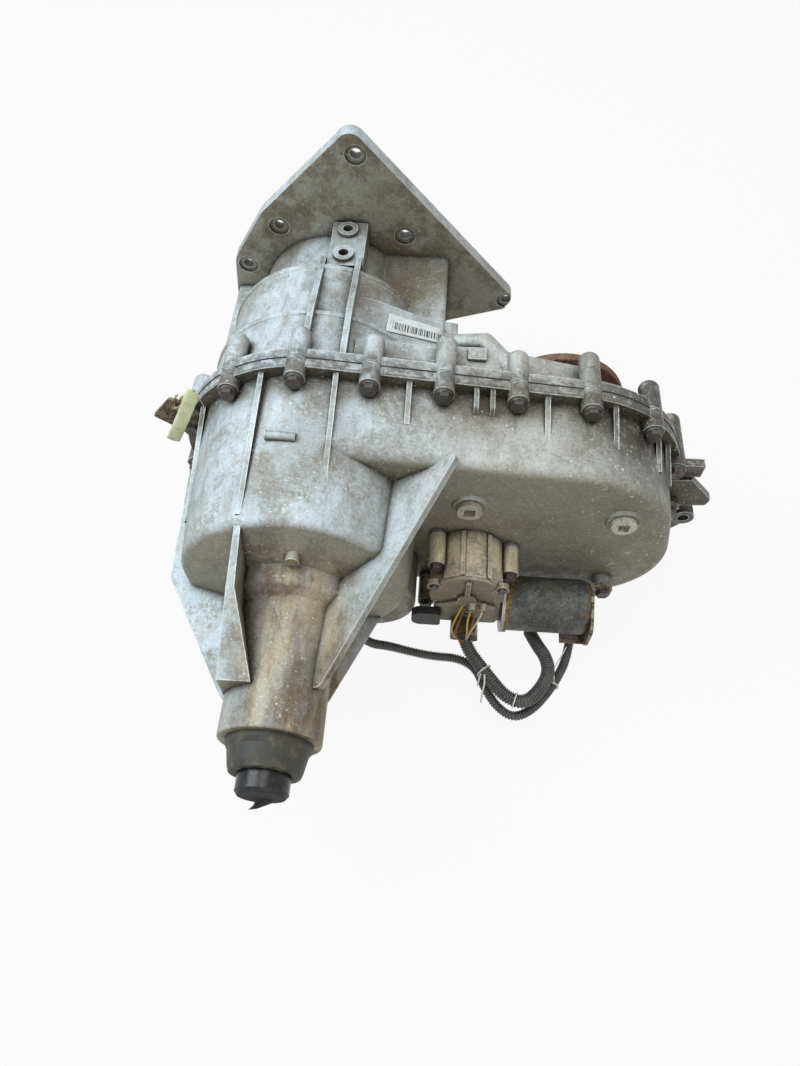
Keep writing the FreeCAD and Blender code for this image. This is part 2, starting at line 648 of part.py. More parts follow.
def tail_fins():
    """The webs that brace the tail: a broad one on top, thin ones round the side and below."""
    nose = NOSE_END + 34

    def section(y, x0, x1, low, high):
        """Upright section at station y between x0 and x1; its top is narrower on the outside."""
        ring = [V(x0, y, low), V(x1, y, low), V(x1, y, high), V(x0 + 1, y, high - 1.5)]
        return Part.makePolygon(ring + ring[:1])

    neck = section(DRUM_REAR - 45, -41, -33, 20, 74)
    broad = Part.makeLoft([section(DRUM_REAR + 12, -39, -33, 50, 96), neck], True, True)
    foot = Part.makeLoft([neck, section(nose, -42, -14, -6, 44)], True, True)
    side = [(30, COVER_REAR + 6, 0), (172, COVER_REAR + 6, 4), (49, nose + 4, 6), (30, nose + 4, 0)]
    lower = [(30, DRUM_REAR + 10, 0), (100, DRUM_REAR + 10, 6), (47, nose + 10, 6), (30, nose + 10, 0)]
    left = [(60, SPLIT - 6, 0), (130, SPLIT - 6, 3), (121, DRUM_REAR + 8, 14), (48, nose + 2, 6),
            (30, nose + 2, 0),
            (30, DRUM_REAR, 0)]
    fins = [broad, foot, radial_web(side, 36.5, 6), radial_web(lower, -38, 6), radial_web(left, 192, 7)]
    fins.append(radial_web(lower, 250, 6))
    return fins


def cover_ribs():
    """Short ribs that stiffen the wall behind the split flange."""
    shapes = []
    back = SPLIT - SEALANT - SPLIT_FLANGE + 2

    def top_line(x):
        """Height of the wall at x, at the split."""
        lean = asin((CASE_A - CASE_B) / CENTRE_DISTANCE) + asin(OUTPUT_DROP / CENTRE_DISTANCE)
        if x < 0:
            return sqrt(CASE_A ** 2 - x ** 2)
        if x < OUTPUT[0]:
            return CASE_A / cos(lean) - x * tan(lean)
        return OUTPUT[1] + sqrt(CASE_B ** 2 - (x - OUTPUT[0]) ** 2)

    long_ribs = {-97.0: (36.0, 10.0), -36.0: (8.0, -1.0), 29.0: (36.0, 1.0)}
    for x, (short, sink) in long_ribs.items():
        top, end = top_line(x), DRUM_REAR + short
        shapes.append(upright_web([(back, top - 30, 0), (back, top + 8, 0), (end, top - 12 - sink, 0),
                                   (end, top - 60, 0)], x, 4.5))
    for x in (92.0, 212.0, 272.0, 316.0, 330.0):
        top = top_line(x)
        shapes.append(upright_web([(back, top - 24, 0), (back, top + 8, 0), (COVER_REAR + 34, top - 3, 0),
                                   (COVER_REAR + 34, top - 24, 0)], x, 4.5))
    for x in (150.0, 164.0):
        top = top_line(x)
        shapes.append(upright_web([(back, top - 10, 0), (back, top + 9, 0), (back - 22, top + 7, 3),
                                   (back - 26, top - 10, 0)], x, 4))
    return shapes


def rear_bosses():
    shapes = [cyl(BOSS_R, SPLIT - SEALANT, BOLT_SEAT, place) for place in BOLT_PLACES]
    for place in PLUG_PLACES.values():
        shapes.append(turned([(0, COVER_REAR + 8, 0), (21, COVER_REAR + 8, 0), (15, COVER_REAR - 3, 2),
                              (0, COVER_REAR - 3, 0)], place))
    for place in MOTOR_SEATS:
        shapes.append(cyl(MOTOR_POST_R, COVER_REAR + 14, COVER_REAR - MOTOR_POST, place))
    shapes.append(turned([(0, COVER_REAR + 8, 0), (11, COVER_REAR + 8, 0), (9, COVER_REAR - 12, 1),
                          (0, COVER_REAR - 12, 0)], STRAP_BOSS))
    shapes.append(cyl(6, DRUM_REAR + 5, DRUM_REAR - 17, PIP))
    shapes.append(bar(4, *PRESSED))
    shapes.append(turned([(0, SPLIT - 4, 0), (SUMP_R, SPLIT - 4, 0), (SUMP_R, SUMP_REAR, 8),
                          (0, SUMP_REAR, 0)], SUMP))
    return shapes


def mount_lugs():
    """Triangular ear, round lug and nub on the outer end of the split flange."""
    y0 = SPLIT - SEALANT
    ear = prism(EAR, y0 - 4, y0 - 12)
    ring = cyl(LUG_R, y0, y0 - 16, LUG)
    arm = prism(LUG_ARM, y0, y0 - 12)
    x, z, wide, high = NUB
    return [ear, ring, arm, Part.makeBox(wide, 9, high, V(x, y0 - 9, z))]


def rear_case():
    y0 = SPLIT - SEALANT
    body = [drum_body(), chain_cover_body()] + tail_fins() + cover_ribs() + rear_bosses() + mount_lugs()
    body.append(lobe(CASE_A + FLANGE_LIP, CASE_B + FLANGE_LIP, y0, y0 - SPLIT_FLANGE))
    ahead = Part.makeBox(900, 100, 900, V(-400, y0, -450))
    solid = fuse(body).cut(ahead)
    inner_rear = DRUM_REAR + WALL
    drum_room = turned([(0, y0 + 1, 0), (CASE_A - WALL - 2, y0 + 1, 0), (DRUM_R - WALL, inner_rear, 5),
                        (0, inner_rear, 0)])
    chain_room = drafted_lobe(CASE_A - WALL, CASE_B - WALL, y0 + 1, DRAFT_A, COVER_REAR + WALL)
    bearing_front = REAR_BEARING_Y + REAR_BEARING[2]
    tail = turned(sharp([(0, inner_rear + 2),
                         (REAR_BEARING[1], inner_rear + 2), (REAR_BEARING[1], REAR_BEARING_Y),
                         (TAIL_ROOM_R, REAR_BEARING_Y), (TAIL_ROOM_R, BUSH_FRONT), (BUSH_OUT_R, BUSH_FRONT),
                         (BUSH_OUT_R, BUSH_REAR),
                         (SEAL_R, BUSH_REAR), (SEAL_R, NOSE_END - 1), (0, NOSE_END - 1)]))
    sump = cyl(SUMP_R - WALL, y0 + 1, SUMP_REAR + WALL, SUMP)
    needle_boss = cyl(NEEDLE[1] + 6, NEEDLE_Y + NEEDLE[2] + 1, COVER_REAR + 1, OUTPUT)
    rail_boss = cyl(RAIL_R + 6, RAIL_END + 8, COVER_REAR + 1, RAIL)
    for cut in (drum_room, chain_room, tail, sump):
        solid = solid.cut(cut)
    solid = fuse([solid, needle_boss, rail_boss])
    cuts = [cyl(NEEDLE[1], NEEDLE_Y, NEEDLE_Y + NEEDLE[2] + 2, OUTPUT)]
    cuts.append(cyl(RAIL_R, RAIL_END, RAIL_END + 9, RAIL))
    cuts.append(cyl(SHIFT_R + RUN, COVER_REAR - 12, COVER_REAR + 12, SHIFT))
    for place in BOLT_PLACES:
        cuts.append(cyl(BOLT_R + SLIP, y0 + 1, BOLT_SEAT - 1, place))
        cuts.append(cyl(BOLT_COLLAR_R + 0.6, BOLT_SEAT, BOLT_SEAT - HEAD_ROOM, place))
    for place in DOWEL_PLACES:
        cuts.append(cyl(DOWEL_R, y0 + 1, y0 - DOWEL_DEPTH, place))
    for place in PLUG_PLACES.values():
        cuts.append(cyl(PLUG_THREAD_R, COVER_REAR - 4, COVER_REAR + 12, place))
    for place in MOTOR_SEATS:
        cuts.append(cyl(MOTOR_BOLT_R, COVER_REAR - 6, COVER_REAR + 2, place))
    cuts.append(cyl(STRAP_BOLT_R, STRAP_SEAT - 1, COVER_REAR + 2, STRAP_BOSS))
    cuts.append(cyl(SENSOR_R, SUMP_REAR - 1, SUMP_REAR + WALL + 1, SENSOR))
    cuts.append(cyl(SENSOR_R + 4, SUMP_REAR, DRUM_REAR - 1, SENSOR))
    cuts.append(cyl(5.5, y0 + 1, y0 - 20, LUG))
    for cut in cuts:
        solid = solid.cut(cut)
    return solid


# ---- What closes the case -------------------------------------------------------------------

def case_sealant():
    y0, y1 = SPLIT, SPLIT - SEALANT
    bead = lobe(CASE_A + FLANGE_LIP + 0.7, CASE_B + FLANGE_LIP + 0.7, y0, y1)
    bead = bead.cut(lobe(CASE_A - WALL, CASE_B - WALL, y0 + 1, y1 - 1))
    for place in BOLT_PLACES:
        bead = bead.cut(cyl(BOLT_R + SLIP, y0 + 1, y1 - 1, place))
    for place in DOWEL_PLACES:
        bead = bead.cut(cyl(DOWEL_R, y0 + 1, y1 - 1, place))
    return bead


def case_bolt(place, seat):
    shank = cyl(BOLT_R, seat, SPLIT + BOLT_REACH, place)
    collar = turned(sharp([(0, seat), (BOLT_COLLAR_R, seat), (BOLT_COLLAR_R - 1.2, seat - 2),
                           (0, seat - 2)]), place)
    return fuse([shank, collar, hexagon(BOLT_HEX, seat, seat - BOLT_HEAD, place)])


def case_bolts():
    bolts = []
    for i, place in enumerate(BOLT_PLACES):
        seat = BOLT_SEAT - TAB_THICK if i == TAB_BOLT else BOLT_SEAT
        bolts.append(case_bolt(place, seat))
    return Part.makeCompound(bolts)


def dowel_pins():
    y0, y1 = SPLIT + DOWEL_DEPTH, SPLIT - SEALANT - DOWEL_DEPTH
    return Part.makeCompound([cyl(DOWEL_R, y0, y1, place) for place in DOWEL_PLACES])


def square_plug(place):
    """Threaded plug with a square recess for a driver."""
    seat = PLUG_SEAT
    body = turned([(0, COVER_REAR + 8, 0), (PLUG_THREAD_R, COVER_REAR + 8, 1), (PLUG_THREAD_R, seat, 0),
                   (11.5, seat, 0), (11.5, seat - 5, 1.2), (0, seat - 5, 0)], place)
    corner = V(place[0] - PLUG_SQUARE / 2, seat - 6, place[1] - PLUG_SQUARE / 2)
    return body.cut(Part.makeBox(PLUG_SQUARE, 11, PLUG_SQUARE, corner))


def rear_seal_boot():
    """Seal pressed into the tail, with the rubber dust boot behind it."""
    bore = TAIL_PLUG_R + GAP
    return turned(sharp([(bore, NOSE_END + 16), (SEAL_R, NOSE_END + 16), (SEAL_R, NOSE_END), (35, NOSE_END),
                         (35, NOSE_END - 4), (32.5, NOSE_END - 8), (30, NOSE_END - 21), (28.5, NOSE_END - 25),
                         (bore, NOSE_END - 25)]))


def tail_plug():
    """Shipping plug: a cup that slips over the shaft end inside the seal."""
    bore, end = TAIL_SHAFT_R + GAP, TAIL_PLUG_END
    return turned([(bore, NOSE_END + 14, 0), (TAIL_PLUG_R, NOSE_END + 14, 1), (TAIL_PLUG_R, end + 3, 0),
                   (TAIL_PLUG_R - 2.5, end, 1), (0, end, 0), (0, end + 6, 0), (bore, end + 6, 2)])


# ---- Input and planetary reduction ----------------------------------------------------------

def input_shaft():
    """Splined stub with the sun gear's teeth on its rear end and a pocket for the hub's nose."""
    bore = INPUT_BEARING[0]
    front = INPUT_BEARING_Y + INPUT_BEARING[2]
    mouth, end = INPUT_SPLINE
    pocket, room = DOG_R + GAP, PILOT_R + PILOT_WALL
    body = turned(sharp([(INPUT_SPLINE_R, mouth), (INPUT_NOSE_R - 5, mouth), (INPUT_NOSE_R, mouth - 5),
                         (INPUT_NOSE_R, front + 1), (bore, front + 1), (bore, INPUT_BEARING_Y - 2),
                         (INPUT_HUB_R, INPUT_BEARING_Y - 2), (INPUT_HUB_R, RING_FRONT), (34, RING_FRONT),
                         (34, SUN_REAR), (pocket, SUN_REAR), (pocket, SUN_REAR + DOG_DEPTH),
                         (room, SUN_REAR + DOG_DEPTH), (room, SUN_REAR + 32), (0, SUN_REAR + 32), (0, end),
                         (INPUT_SPLINE_R, end)]))
    teeth = polygon_prism(gear_outline(SUN_TEETH, ADDENDUM, DEDENDUM, -BACKLASH), RING_FRONT, SUN_REAR)
    return fuse([body, teeth.cut(cyl(33, RING_FRONT + 1, SUN_REAR - 1))])


def pilot_bearing():
    return tube(PILOT_R + PILOT_WALL, PILOT_R + RUN, SUN_REAR + DOG_DEPTH + 1, SUN_REAR + 30)


def input_seal():
    seat = INPUT_BEARING_Y + INPUT_BEARING[2] + 2
    return tube(36, INPUT_NOSE_R + RUN, seat, seat + 10)


def ring_gear():
    space = gear_outline(RING_TEETH, DEDENDUM, ADDENDUM, BACKLASH, 180 / RING_TEETH)
    y0, y1 = RING_FRONT, RING_FRONT - GEAR_WIDTH
    return cyl(RING_OUT_R, y0, y1).cut(polygon_prism(space, y0 + 1, y1 - 1))


def planet_places():
    return [(PLANET_ORBIT * cos(2 * pi * k / PLANETS), PLANET_ORBIT * sin(2 * pi * k / PLANETS))
            for k in range(PLANETS)]


def planet_gear(place):
    points = gear_outline(PLANET_TEETH, ADDENDUM, DEDENDUM, -BACKLASH, 180 / PLANET_TEETH)
    y0, y1 = RING_FRONT - GEAR_SIDE, RING_FRONT - GEAR_WIDTH + GEAR_SIDE
    return polygon_prism(points, y0, y1, place).cut(cyl(PLANET_PIN_R + RUN, y0 + 1, y1 - 1, place))


def planet_pins():
    return Part.makeCompound([cyl(PLANET_PIN_R, CARRIER_FRONT, CARRIER_REAR, place)
                              for place in planet_places()])


def planet_carrier():
    """Two plates joined by posts between the planets; the rear plate clears the sun's teeth."""
    front = RING_FRONT + GEAR_SIDE
    rear = RING_FRONT - GEAR_WIDTH - GEAR_SIDE
    shapes = [tube(CARRIER_R, INPUT_HUB_R + GAP, CARRIER_FRONT, front),
              tube(CARRIER_R, DOG_R + GAP, SUN_REAR - GAP, CARRIER_REAR)]
    for k in range(PLANETS):
        angle = 2 * pi * (k + 0.5) / PLANETS
        place = ((PLANET_ORBIT + 1) * cos(angle), (PLANET_ORBIT + 1) * sin(angle))
        shapes.append(cyl(CARRIER_POST_R, CARRIER_FRONT, CARRIER_REAR, place))
    for place in planet_places():
        shapes.append(cyl(PLANET_PIN_R + 4, rear, CARRIER_REAR, place))
    solid = fuse(shapes)
    for place in planet_places():
        solid = solid.cut(cyl(PLANET_PIN_R, CARRIER_FRONT + 1, CARRIER_REAR - 1, place))
    return solid


def range_hub():
    """Sliding sleeve: its nose locks in the sun's pocket in high range and in the carrier in low."""
    nose, shoulder = SUN_REAR + DOG_DEPTH - 1, CARRIER_REAR - 4
    front, rear = FORK_Y + HUB_GROOVE / 2, FORK_Y - HUB_GROOVE / 2
    return turned(sharp([(MAIN_R + RUN, nose), (DOG_R, nose), (DOG_R, shoulder), (HUB_R, shoulder),
                         (HUB_R, front),
                         (HUB_GROOVE_R, front), (HUB_GROOVE_R, rear), (HUB_R, rear), (HUB_R, rear - 5),
                         (MAIN_R + RUN, rear - 5)]))


# ---- Main shaft and clutch ------------------------------------------------------------------

def main_shaft():
    seat = REAR_BEARING[0]
    shoulder = REAR_BEARING_Y + REAR_BEARING[2] + 1
    pilot = SUN_REAR + DOG_DEPTH
    return turned(sharp([(0, pilot + 15), (PILOT_R - 1, pilot + 15), (PILOT_R, pilot + 13), (PILOT_R, pilot),
                         (MAIN_R, pilot - 0.5), (MAIN_R, shoulder), (seat, shoulder),
                         (seat, REAR_BEARING_Y - 2),
                         (TAIL_SHAFT_R, REAR_BEARING_Y - 3), (TAIL_SHAFT_R, TAIL_SHAFT_END + 2),
                         (TAIL_SHAFT_R - 1.5, TAIL_SHAFT_END), (0, TAIL_SHAFT_END)]))


def sprocket(at, front, rear, bore):
    """Toothed rim whose teeth fill the notches of the link plates, on a hub."""
    rim_r = SPROCKET_PITCH_R * cos(pi / SPROCKET_TEETH)
    half = (CHAIN_WIDTH - 1.5) / 2
    root, tip = rim_r - TOE - 0.8, rim_r - CROTCH - 0.7
    root_half, tip_half = 3.7, 1.1
    points = []
    for i in range(SPROCKET_TEETH):
        centre = CHAIN_TILT + pi / 2 + 2 * pi * (i + 0.5) / SPROCKET_TEETH
        flank = ((root, -root_half), (tip, -tip_half), (tip, tip_half), (root, root_half))
        points += [(r * cos(centre + w / r), r * sin(centre + w / r)) for r, w in flank]
    rim = polygon_prism(points, CHAIN_MID - half, CHAIN_MID + half, at)
    solid = fuse([rim, cyl(SPROCKET_HUB_R, front, rear, at)])
    for side in (1, -1):
        solid = solid.cut(tube(root - 8, SPROCKET_HUB_R, CHAIN_MID + side * (half + 1),
                               CHAIN_MID + side * 4, at))
    return solid.cut(cyl(bore, front + 1, rear - 1, at))


def clutch_cage():
    """Outer cage of the clutch, open to the rear, slotted for the plates' ears."""
    cage = turned(sharp([(26, CAGE_FRONT), (CAGE_R, CAGE_FRONT), (CAGE_R, CAGE_REAR),
                         (CAGE_R - CAGE_WALL, CAGE_REAR),
                         (CAGE_R - CAGE_WALL, CAGE_FRONT - CAGE_WALL), (26, CAGE_FRONT - CAGE_WALL)]))
    for k in range(CAGE_SLOTS):
        slot = Part.makeBox(CAGE_WALL * 3, 26, 9, V(CAGE_R - 2 * CAGE_WALL, CAGE_REAR + 6, -4.5))
        slot.rotate(V(0, 0, 0), ALONG, 360 / CAGE_SLOTS * k)
        cage = cage.cut(slot)
    return cage


def clutch_hub():
    """Sleeve on the main shaft with a web out to the rim that carries the friction plates."""
    sleeve, rim = MAIN_R + 9, CLUTCH_HUB_R - 5
    front = CAGE_FRONT - CAGE_WALL - 2
    return turned(sharp([(MAIN_R, front), (sleeve, front), (sleeve, PACK_FRONT - 8), (rim, PACK_FRONT - 8),
                         (rim, PACK_FRONT + 1), (CLUTCH_HUB_R, PACK_FRONT + 1), (CLUTCH_HUB_R, PACK_REAR - 1),
                         (rim, PACK_REAR - 1), (rim, PACK_FRONT - 14), (sleeve, PACK_FRONT - 14),
                         (sleeve, PACK_REAR - 12), (MAIN_R, PACK_REAR - 12)]))


def clutch_plates(inner, outer, first):
    plates = []
    for i in range(CLUTCH_PLATES):
        y = PACK_FRONT - (2 * i + first) * (PLATE + PLATE_GAP)
        plates.append(tube(outer, inner, y, y - PLATE))
    return Part.makeCompound(plates)


def armature():
    """Cupped plate that the coil pulls; it turns with the cage."""
    y, edge = COIL_FRONT + 0.5, CAGE_R - CAGE_WALL
    return turned(sharp([(54, y), (edge, y), (edge, y + 12), (edge - 10, y + 12), (edge - 10, y + 5),
                         (54, y + 5)]))


def clutch_coil():
    return turned([(42, COIL_FRONT, 0), (FRICTION_R, COIL_FRONT, 1), (FRICTION_R, PUMP_FRONT, 1),
                   (42, PUMP_FRONT, 0)])


def oil_pump():
    """Pump body round the shaft, bolted to the drum's rear wall, with its suction ear."""
    rear = DRUM_REAR + WALL
    x, z = PICKUP
    ear = prism([(10, -30, 0), (x - 10, -30, 0), (x + 11, z + 8, 6), (x + 4, z - 10, 5), (30, -50, 0)],
                PUMP_FRONT, SUMP_REAR + WALL)
    body = fuse([cyl(PUMP_R, PUMP_FRONT, rear), ear])
    return body.cut(cyl(MAIN_R + GAP, PUMP_FRONT + 1, rear - 1))


def oil_pickup():
    """Suction tube that runs forward in the sump to the strainer."""
    x, z = PICKUP
    elbow = V(x, PICKUP_FRONT + PICKUP_R, z)
    shank = bar(PICKUP_R, (x, PUMP_FRONT, z), elbow)
    drop = bar(PICKUP_R, elbow, (x, elbow.y, z - 18))
    strainer = Part.makeBox(34, 2 * PICKUP_R + 2, 10, V(x - 21, PICKUP_FRONT - 1, z - 26))
    return fuse([shank, drop, strainer, Part.makeSphere(PICKUP_R, elbow)])


def toothed_ring(teeth, root, tip, shares, bore, y0, y1, at=INPUT):
    """Ring with flat-topped teeth; shares are the half widths at root and tip, in pitches."""
    points = []
    for i in range(teeth):
        for r, share in ((root, -shares[0]), (tip, -shares[1]), (tip, shares[1]), (root, shares[0])):
            angle = 2 * pi * (i + share) / teeth
            points.append((r * cos(angle), r * sin(angle)))
    return polygon_prism(points, y0, y1, at).cut(cyl(bore, y0 + 1, y1 - 1, at))


def tone_ring():
    y = REAR_BEARING_Y - 20
    return toothed_ring(TONE_TEETH, 25.0, 28.5, (0.25, 0.22), TAIL_SHAFT_R, y, y - 8)


# ---- Chain and front output -----------------------------------------------------------------

def chain_pins():
    """Pin places round the loop, each with the next: two half wraps and two straight strands."""
    r = SPROCKET_PITCH_R
    tilt = CHAIN_TILT
    half = SPROCKET_TEETH // 2
    strand = (CHAIN_LINKS - SPROCKET_TEETH) // 2
    pins = []
    for i in range(half):
        angle = tilt + pi / 2 + pi * i / half
        pins.append((r * cos(angle), r * sin(angle)))
    for i in range(strand):
        s = CENTRE_DISTANCE * i / strand
        pins.append((r * sin(tilt) + s * cos(tilt), -r * cos(tilt) + s * sin(tilt)))
    for i in range(half):
        angle = tilt - pi / 2 + pi * i / half
        pins.append((OUTPUT[0] + r * cos(angle), OUTPUT[1] + r * sin(angle)))
    for i in range(strand):
        s = CENTRE_DISTANCE * (1 - i / strand)
        pins.append((-r * sin(tilt) + s * cos(tilt), r * cos(tilt) + s * sin(tilt)))
    return pins


def link_plate(start, end, y0, y1):
    """Toothed plate between two pins; its two toes point into the loop."""
    along = ((end[0] - start[0]) / CHAIN_PITCH, (end[1] - start[1]) / CHAIN_PITCH)
    inward = (-along[1], along[0])
    middle = ((start[0] + end[0]) / 2, (start[1] + end[1]) / 2)
    half = CHAIN_PITCH / 2
    shape = [(-half - 3.4, 0.6), (-half - 1.6, -3.8), (half + 1.6, -3.8), (half + 3.4, 0.6),
             (half + 1.4, TOE),
             (half - 2.2, TOE), (1.5, CROTCH), (-1.5, CROTCH), (-half + 2.2, TOE), (-half - 1.4, TOE)]
    points = [(middle[0] + u * along[0] + v * inward[0], middle[1] + u * along[1] + v * inward[1])
              for u, v in shape]
    return polygon_prism(points, y0, y1)


def drive_chain():
    """Alternate links: three plates on two pins, and two plates with pin holes between them."""
    pins = chain_pins()
    lane = CHAIN_WIDTH / 5
    solids = []
    for i in range(CHAIN_LINKS):
        start, end = pins[i], pins[(i + 1) % CHAIN_LINKS]
        if i % 2 == 0:
            plates = [link_plate(start, end, CHAIN_MID + lane * (k - 0.5), CHAIN_MID + lane * (k + 0.5))
                      for k in (-2, 0, 2)]
            half = CHAIN_WIDTH / 2
            plates += [cyl(LINK_PIN_R, CHAIN_MID - half, CHAIN_MID + half, p) for p in (start, end)]
            solids.append(plates[0].multiFuse(plates[1:]))
        else:
            for k in (-1, 1):
                plate = link_plate(start, end, CHAIN_MID + lane * (k - 0.5) + 0.05,
                                   CHAIN_MID + lane * (k + 0.5) - 0.05)
                for p in (start, end):
                    plate = plate.cut(cyl(LINK_PIN_R + RUN, CHAIN_MID - CHAIN_WIDTH,
                                          CHAIN_MID + CHAIN_WIDTH, p))
                solids.append(plate)
    return Part.makeCompound(solids)


def front_output_shaft():
    """Shaft from the flange nut's thread through its bearing and sprocket to the rear needle."""
    seat, tip = OUTPUT_BEARING[0], OUTPUT_THREAD_R
    front, rear = OUTPUT_BEARING_Y + OUTPUT_BEARING[2] + 1, OUTPUT_BEARING_Y - 1
    end = OUTPUT_FLANGE_FACE + 11
    return turned(sharp([(0, end), (tip - 1, end), (tip, end - 1), (tip, NUT_SEAT), (OUTPUT_NOSE_R, NUT_SEAT),
                         (OUTPUT_NOSE_R, front), (seat, front), (seat, rear), (OUTPUT_HUB_R, rear),
                         (OUTPUT_HUB_R, rear - 4), (OUTPUT_SPROCKET_R, rear - 4),
                         (OUTPUT_SPROCKET_R, CHAIN_MID - 18),
                         (NEEDLE[0], CHAIN_MID - 18), (NEEDLE[0], NEEDLE_Y + 0.5), (0, NEEDLE_Y + 0.5)]),
                  OUTPUT)


def front_output_flange():
    """Rusted drive flange: disc with four bolt holes, pilot recess and a splined hub."""
    face = OUTPUT_FLANGE_FACE
    back = face - OUTPUT_FLANGE_THICK
    end = OUTPUT_BEARING_Y + OUTPUT_BEARING[2] + 1.2
    body = turned([(OUTPUT_NOSE_R, NUT_SEAT, 0), (OUTPUT_HUB_R + 2, NUT_SEAT, 0), (OUTPUT_HUB_R + 2, face, 0),
                   (OUTPUT_FLANGE_R, face, 1.5), (OUTPUT_FLANGE_R, back, 1.5),
                   (OUTPUT_HUB_R + 6, back - 2, 3),
                   (OUTPUT_HUB_R, back - 9, 0), (OUTPUT_HUB_R, end, 0), (OUTPUT_NOSE_R, end, 0)], OUTPUT)
    for k in range(OUTPUT_BOLTS):
        angle = radians(45 + 360 * k / OUTPUT_BOLTS)
        place = (OUTPUT[0] + OUTPUT_PCD / 2 * cos(angle), OUTPUT[1] + OUTPUT_PCD / 2 * sin(angle))
        body = body.cut(cyl(OUTPUT_BOLT_R, face + 1, face - OUTPUT_FLANGE_THICK - 4, place))
    return body


def flange_nut():
    y0, y1 = NUT_SEAT, NUT_SEAT + 12
    nut = fuse([hexagon(30, y0, y1, OUTPUT), cyl(19, y0, y0 + 3, OUTPUT)])
    return nut.cut(cyl(OUTPUT_THREAD_R, y0 - 1, y1 + 1, OUTPUT))


def output_seal():
    front = OUTPUT_BEARING_Y + OUTPUT_BEARING[2]
    return tube(OUTPUT_SEAL_R, OUTPUT_HUB_R + RUN, front, front + 11, OUTPUT)


def rear_needle():
    return tube(NEEDLE[1], NEEDLE[0] + RUN, NEEDLE_Y, NEEDLE_Y + NEEDLE[2], OUTPUT)


# ---- Shift gear -----------------------------------------------------------------------------

def shift_rail():
    return cyl(RAIL_R, RAIL_END, POCKET_FRONT - 0.5, RAIL)


def shift_fork():
    """Fork that rides on the rail, with pads in the hub's groove and a pin in the cam."""
    y0, y1 = FORK_Y - FORK_THICK / 2, FORK_Y + FORK_THICK / 2
    horseshoe = tube(HUB_R + 8, HUB_GROOVE_R + GAP, y0, y1)
    horseshoe = horseshoe.cut(Part.makeBox(60, 20, 100, V(-68, y0 - 5, -50)))
    arm = prism([(38, 14, 0), (RAIL[0] - 2, RAIL[1] + 12, 0), (RAIL[0] - 4, RAIL[1] - 12, 0), (36, -24, 0)],
                y0, y1)
    boss = cyl(RAIL_R + 6, FORK_Y - FORK_BOSS / 2, FORK_Y + FORK_BOSS / 2, RAIL)
    away = (SHIFT[0] - RAIL[0], SHIFT[1] - RAIL[1])
    reach = hypot(*away)
    unit = (away[0] / reach, away[1] / reach)
    tip = reach - CAM_R + CAM_GROOVE - GAP
    pin = bar(CAM_PIN_R, (RAIL[0] + unit[0] * 9, FORK_Y, RAIL[1] + unit[1] * 9),
              (RAIL[0] + unit[0] * tip, FORK_Y, RAIL[1] + unit[1] * tip))
    arm = arm.cut(cyl(HUB_R - 1, y0 - 1, y1 + 1))
    solid = fuse([horseshoe, arm, boss, pin])
    return solid.cut(cyl(RAIL_R + RUN, FORK_Y - 12, FORK_Y + 12, RAIL))


def cam_groove():
    """Helical slot whose lead moves the fork over its travel in the shaft's turn."""
    lead = HUB_TRAVEL * 360 / CAM_TURN
    sweep = CAM_TURN + 2 * CAM_SPARE
    helix = Part.makeHelix(lead, lead * sweep / 360, CAM_R)
    floor = CAM_R - CAM_GROOVE
    steepest = atan2(lead, 2 * pi * floor)
    half = (CAM_PIN_R + GAP) / cos(steepest)
    corners = [V(floor, 0, -half), V(CAM_R + 2, 0, -half), V(CAM_R + 2, 0, half), V(floor, 0, half)]
    profile = Part.makePolygon(corners + corners[:1])
    groove = Part.Wire(helix.Edges).makePipeShell([profile], True, True)
    toward = degrees(atan2(RAIL[1] - SHIFT[1], RAIL[0] - SHIFT[0]))
    groove.rotate(V(0, 0, 0), V(1, 0, 0), 90)
    groove.rotate(V(0, 0, 0), ALONG, CAM_SPARE - toward)
    groove.translate(V(SHIFT[0], FORK_Y + lead * CAM_SPARE / 360, SHIFT[1]))
    return groove


def shift_shaft():
    """Shaft with its grooved cam drum; the motor's wheel sits on its rear end."""
    drum = cyl(CAM_R, FORK_Y + 9, FORK_Y - HUB_TRAVEL - 10, SHIFT)
    shaft = cyl(SHIFT_R, POCKET_FRONT - 0.5, MOTOR_REAR + 1, SHIFT)
    return fuse([shaft, drum]).cut(cam_groove())


# ---- Shift motor ----------------------------------------------------------------------------

